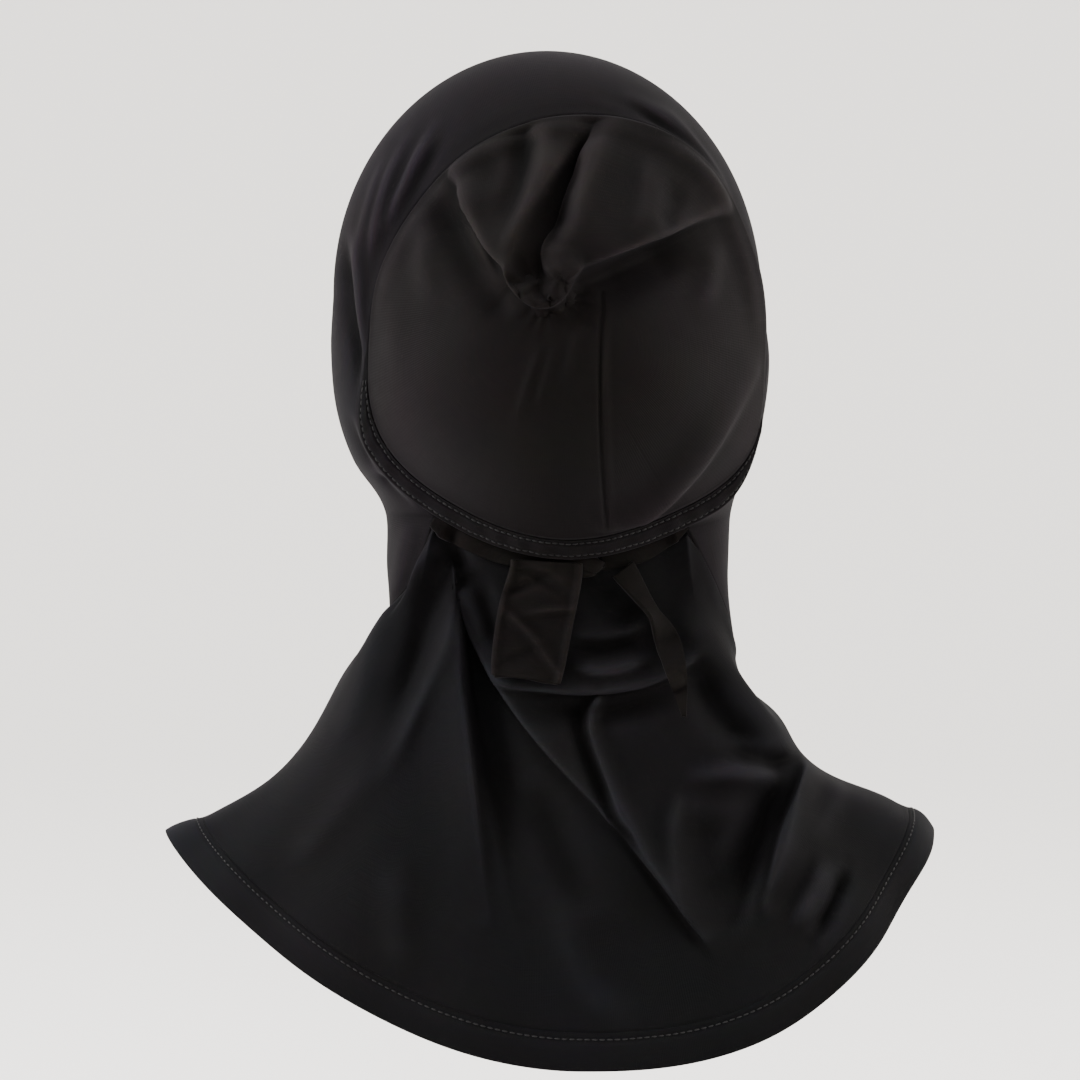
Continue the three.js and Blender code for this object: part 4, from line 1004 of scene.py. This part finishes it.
# %% Knot
KNOT_HALF = np.array([12.0, 3.2, 5.4])
knot_low, knot_high = (np.array(corner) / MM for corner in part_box("tie_knot"))
lat = np.linspace(0.02, np.pi - 0.02, 40)[:, None]
lon = np.linspace(0, 2 * np.pi, 96, endpoint=False)[None, :]
lap = 1 - 0.12 * bell(np.sin(lon - 1.4 * (lat - 1.57)), 0.16) - 0.05 * np.cos(6 * lat + 2 * lon)
knot_points = (knot_low + knot_high) / 2 + KNOT_HALF * lap[..., None] * np.stack([
    -np.cos(lat) * np.ones_like(lon), np.sin(lat) * np.cos(lon), np.sin(lat) * np.sin(lon),
], -1)
cloth("knot_cloth", "tie_knot", knot_points, KNOT_WALL, tie_jersey)

# %% [markdown]
# ## Stitching
#
# A real seam is a row of short stitches that sink into the cloth. Each stitch is a spindle of a few dozen
# faces, laid along the seam at even steps and pressed half into it. One mesh holds a whole seam.


# %% Stitch maker
RINGS, SIDES_ROUND = 6, 6


def stitches(name, line, normals, long=2.4, pitch=3.1, thick=0.34):
    """Spindles along a line of points. Their radius is thick times the root of 1 - s^2 along each."""
    steps = np.linalg.norm(np.diff(line, axis=0), axis=1)
    length = np.concatenate([[0], np.cumsum(steps)])
    count = int(length[-1] // pitch)
    middles = (np.arange(count) + 0.5) * length[-1] / count
    s = np.linspace(-1, 1, RINGS)
    at = middles[:, None] + s * long / 2
    centre = np.stack([np.interp(at, length, line[:, i]) for i in range(3)], -1)
    up = np.stack([np.interp(at, length, normals[:, i]) for i in range(3)], -1)
    up /= np.linalg.norm(up, axis=-1, keepdims=True)
    way = np.gradient(centre, axis=1)
    way /= np.linalg.norm(way, axis=-1, keepdims=True)
    side = np.cross(way, up)
    turn = np.linspace(0, 2 * np.pi, SIDES_ROUND, endpoint=False)[:, None]
    radius = thick * np.sqrt(np.maximum(0.02, 1 - s * s))[None, :, None, None]
    ring = side[:, :, None] * np.cos(turn) + up[:, :, None] * np.sin(turn)
    arch = up * (0.28 * (1 - s * s))[None, :, None]
    points = (centre + arch)[:, :, None] + radius * ring
    first = np.arange(count)[:, None] * RINGS * SIDES_ROUND
    quads = (first[..., None] + faces_of(cells(RINGS - 1, SIDES_ROUND, True), SIDES_ROUND)).reshape(-1, 4)
    ends = first + np.arange(RINGS * SIDES_ROUND)[: -SIDES_ROUND - 1 : -1]
    caps = ends.tolist() + (first + np.arange(SIDES_ROUND)).tolist()
    piece = piece_of(name, points, quads.tolist() + caps, black_thread)
    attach(piece, "root")
    print(name, "stitches", count)


def row_line(points, row, wraps):
    """One row of a grid with its normals, closed where the grid is."""
    normals = normals_of(points, wraps)[row]
    line = points[row]
    if wraps:
        line, normals = np.vstack([line, line[:1]]), np.vstack([normals, normals[:1]])
    return line, normals


# %% Seams
stitches("cape_hem_stitching", *row_line(hem, 2, True))
stitches("face_hem_stitching", *row_line(face_band, round(FACE_SEAM * FACE_HEM_ROWS), True))
wide_part = (casing_angles > CASING_LEFT + TIP_LENGTH) & (casing_angles < CASING_RIGHT - TIP_LENGTH)
for share, side in zip(CASING_SEAMS, ("outer", "inner")):
    line, up = row_line(casing, round(share * CASING_ROWS), False)
    stitches(f"casing_{side}_stitching", line[wide_part], up[wide_part], pitch=2.8)

# %% [markdown]
# ## What the sheets were cut from
#
# The size of each sheet's cut is worked out and printed. The sizes are measured along the cloth
# itself, so a gathered or draped piece is a little larger than the space it fills.


# %% Sizing the sheets
def area_of(points, wraps):
    """Half the cross product of each cell's diagonals, summed, in square metres."""
    wide = all_round(points, wraps)
    one_way = wide[1:, 1:] - wide[:-1, :-1]
    other = wide[1:, :-1] - wide[:-1, 1:]
    return float(np.linalg.norm(np.cross(one_way, other), axis=-1).sum()) / 2 * MM * MM


def declare(name):
    """Prints a sheet's flat size, its longest row and its longest column or what its area needs, and its
    area.
    """
    piece, points, wraps = sheets[name]
    wide = all_round(points, wraps)
    rows = np.linalg.norm(np.diff(wide, axis=1), axis=-1).sum(1).max() * MM
    columns = np.linalg.norm(np.diff(wide, axis=0), axis=-1).sum(0).max() * MM
    area = area_of(points, wraps)
    columns = max(columns, 1.03 * area / rows)
    flat = (max(0.01, round(rows, 3)), max(0.01, round(columns + 0.0004, 3)))
    area = round(min(max(area, 0.31 * flat[0] * flat[1]), 0.99 * flat[0] * flat[1]), 6)
    print(name, "flat", flat, "area", round(area, 5))


declare("hood_cloth")
declare("face_hem_cloth")
declare("bag_cloth")
declare("bag_pucker")
declare("casing_band")
declare("cape_cloth")
declare("cape_hem_cloth")
for side in ("left", "right"):
    declare(f"strap_{side}_cloth")
for side in ("left", "right"):
    declare(f"tail_{side}_cloth")

# %% [markdown]
# ## Floor and light
#
# The cap is held up in the form that it takes when worn, so the floor lies well below it. The floor turns up
# into a wall far away on every side, which leaves no horizon in any view. Black cloth shows its folds only
# by soft light from one side: a large light is high on the left, and weaker ones are on the right and above.

# %% Floor
FLOOR_DROP, FLOOR_FLAT, FLOOR_BEND, FLOOR_SPANS = -620.0, 2600.0, 2400.0, 96
bend = np.linspace(0, np.pi / 2, 24)[1:]
radii = np.concatenate([[10], np.linspace(400, FLOOR_FLAT, 8), FLOOR_FLAT + FLOOR_BEND * np.sin(bend)])
heights = np.concatenate([np.zeros(9), FLOOR_BEND * (1 - np.cos(bend))])
spin = np.linspace(0, 2 * np.pi, FLOOR_SPANS, endpoint=False)
floor_points = np.stack([
    radii[:, None] * np.cos(spin), radii[:, None] * np.sin(spin), FLOOR_DROP + heights[:, None] + 0 * spin,
], -1)
floor_faces = faces_of(cells(len(radii) - 1, FLOOR_SPANS, True), FLOOR_SPANS).tolist()
paper = new_skin("pale_paper", {
    "Base Color": (0.93, 0.91, 0.885, 1), "Roughness": 0.9, "Specular IOR Level": 0.1,
})[0]
piece_of("floor", floor_points, floor_faces + [list(range(FLOOR_SPANS))], paper)

# %% Light
world = bpy.data.worlds.new("studio")
bpy.context.scene.world = world
world.use_nodes = True
sky = {"Color": (1.0, 0.985, 0.96, 1), "Strength": 2.1}
settle(world.node_tree, world.node_tree.nodes["Background"], sky)


def softbox(name, place, aim, size, power, colour=(1, 1, 1)):
    """A square area light at a place, turned towards its aim, all in metres."""
    light = bpy.data.lights.new(name, "AREA")
    light.size = size
    light.energy = power
    light.color = colour
    lamp = bpy.data.objects.new(name, light)
    lamp.location = place
    lamp.rotation_euler = (Vector(place) - Vector(aim)).to_track_quat("Z", "Y").to_euler()
    bpy.context.scene.collection.objects.link(lamp)


softbox("key_light", (-1.9, -0.5, 0.75), (0, 0, -0.2), 0.9, 115, (0.96, 0.97, 1.0))
softbox("fill_light", (1.9, -0.2, 0.4), (0, 0, -0.2), 1.0, 58, (1.0, 0.96, 0.93))
softbox("top_light", (0.1, 0.2, 1.8), (0, 0.01, 0), 1.2, 16)
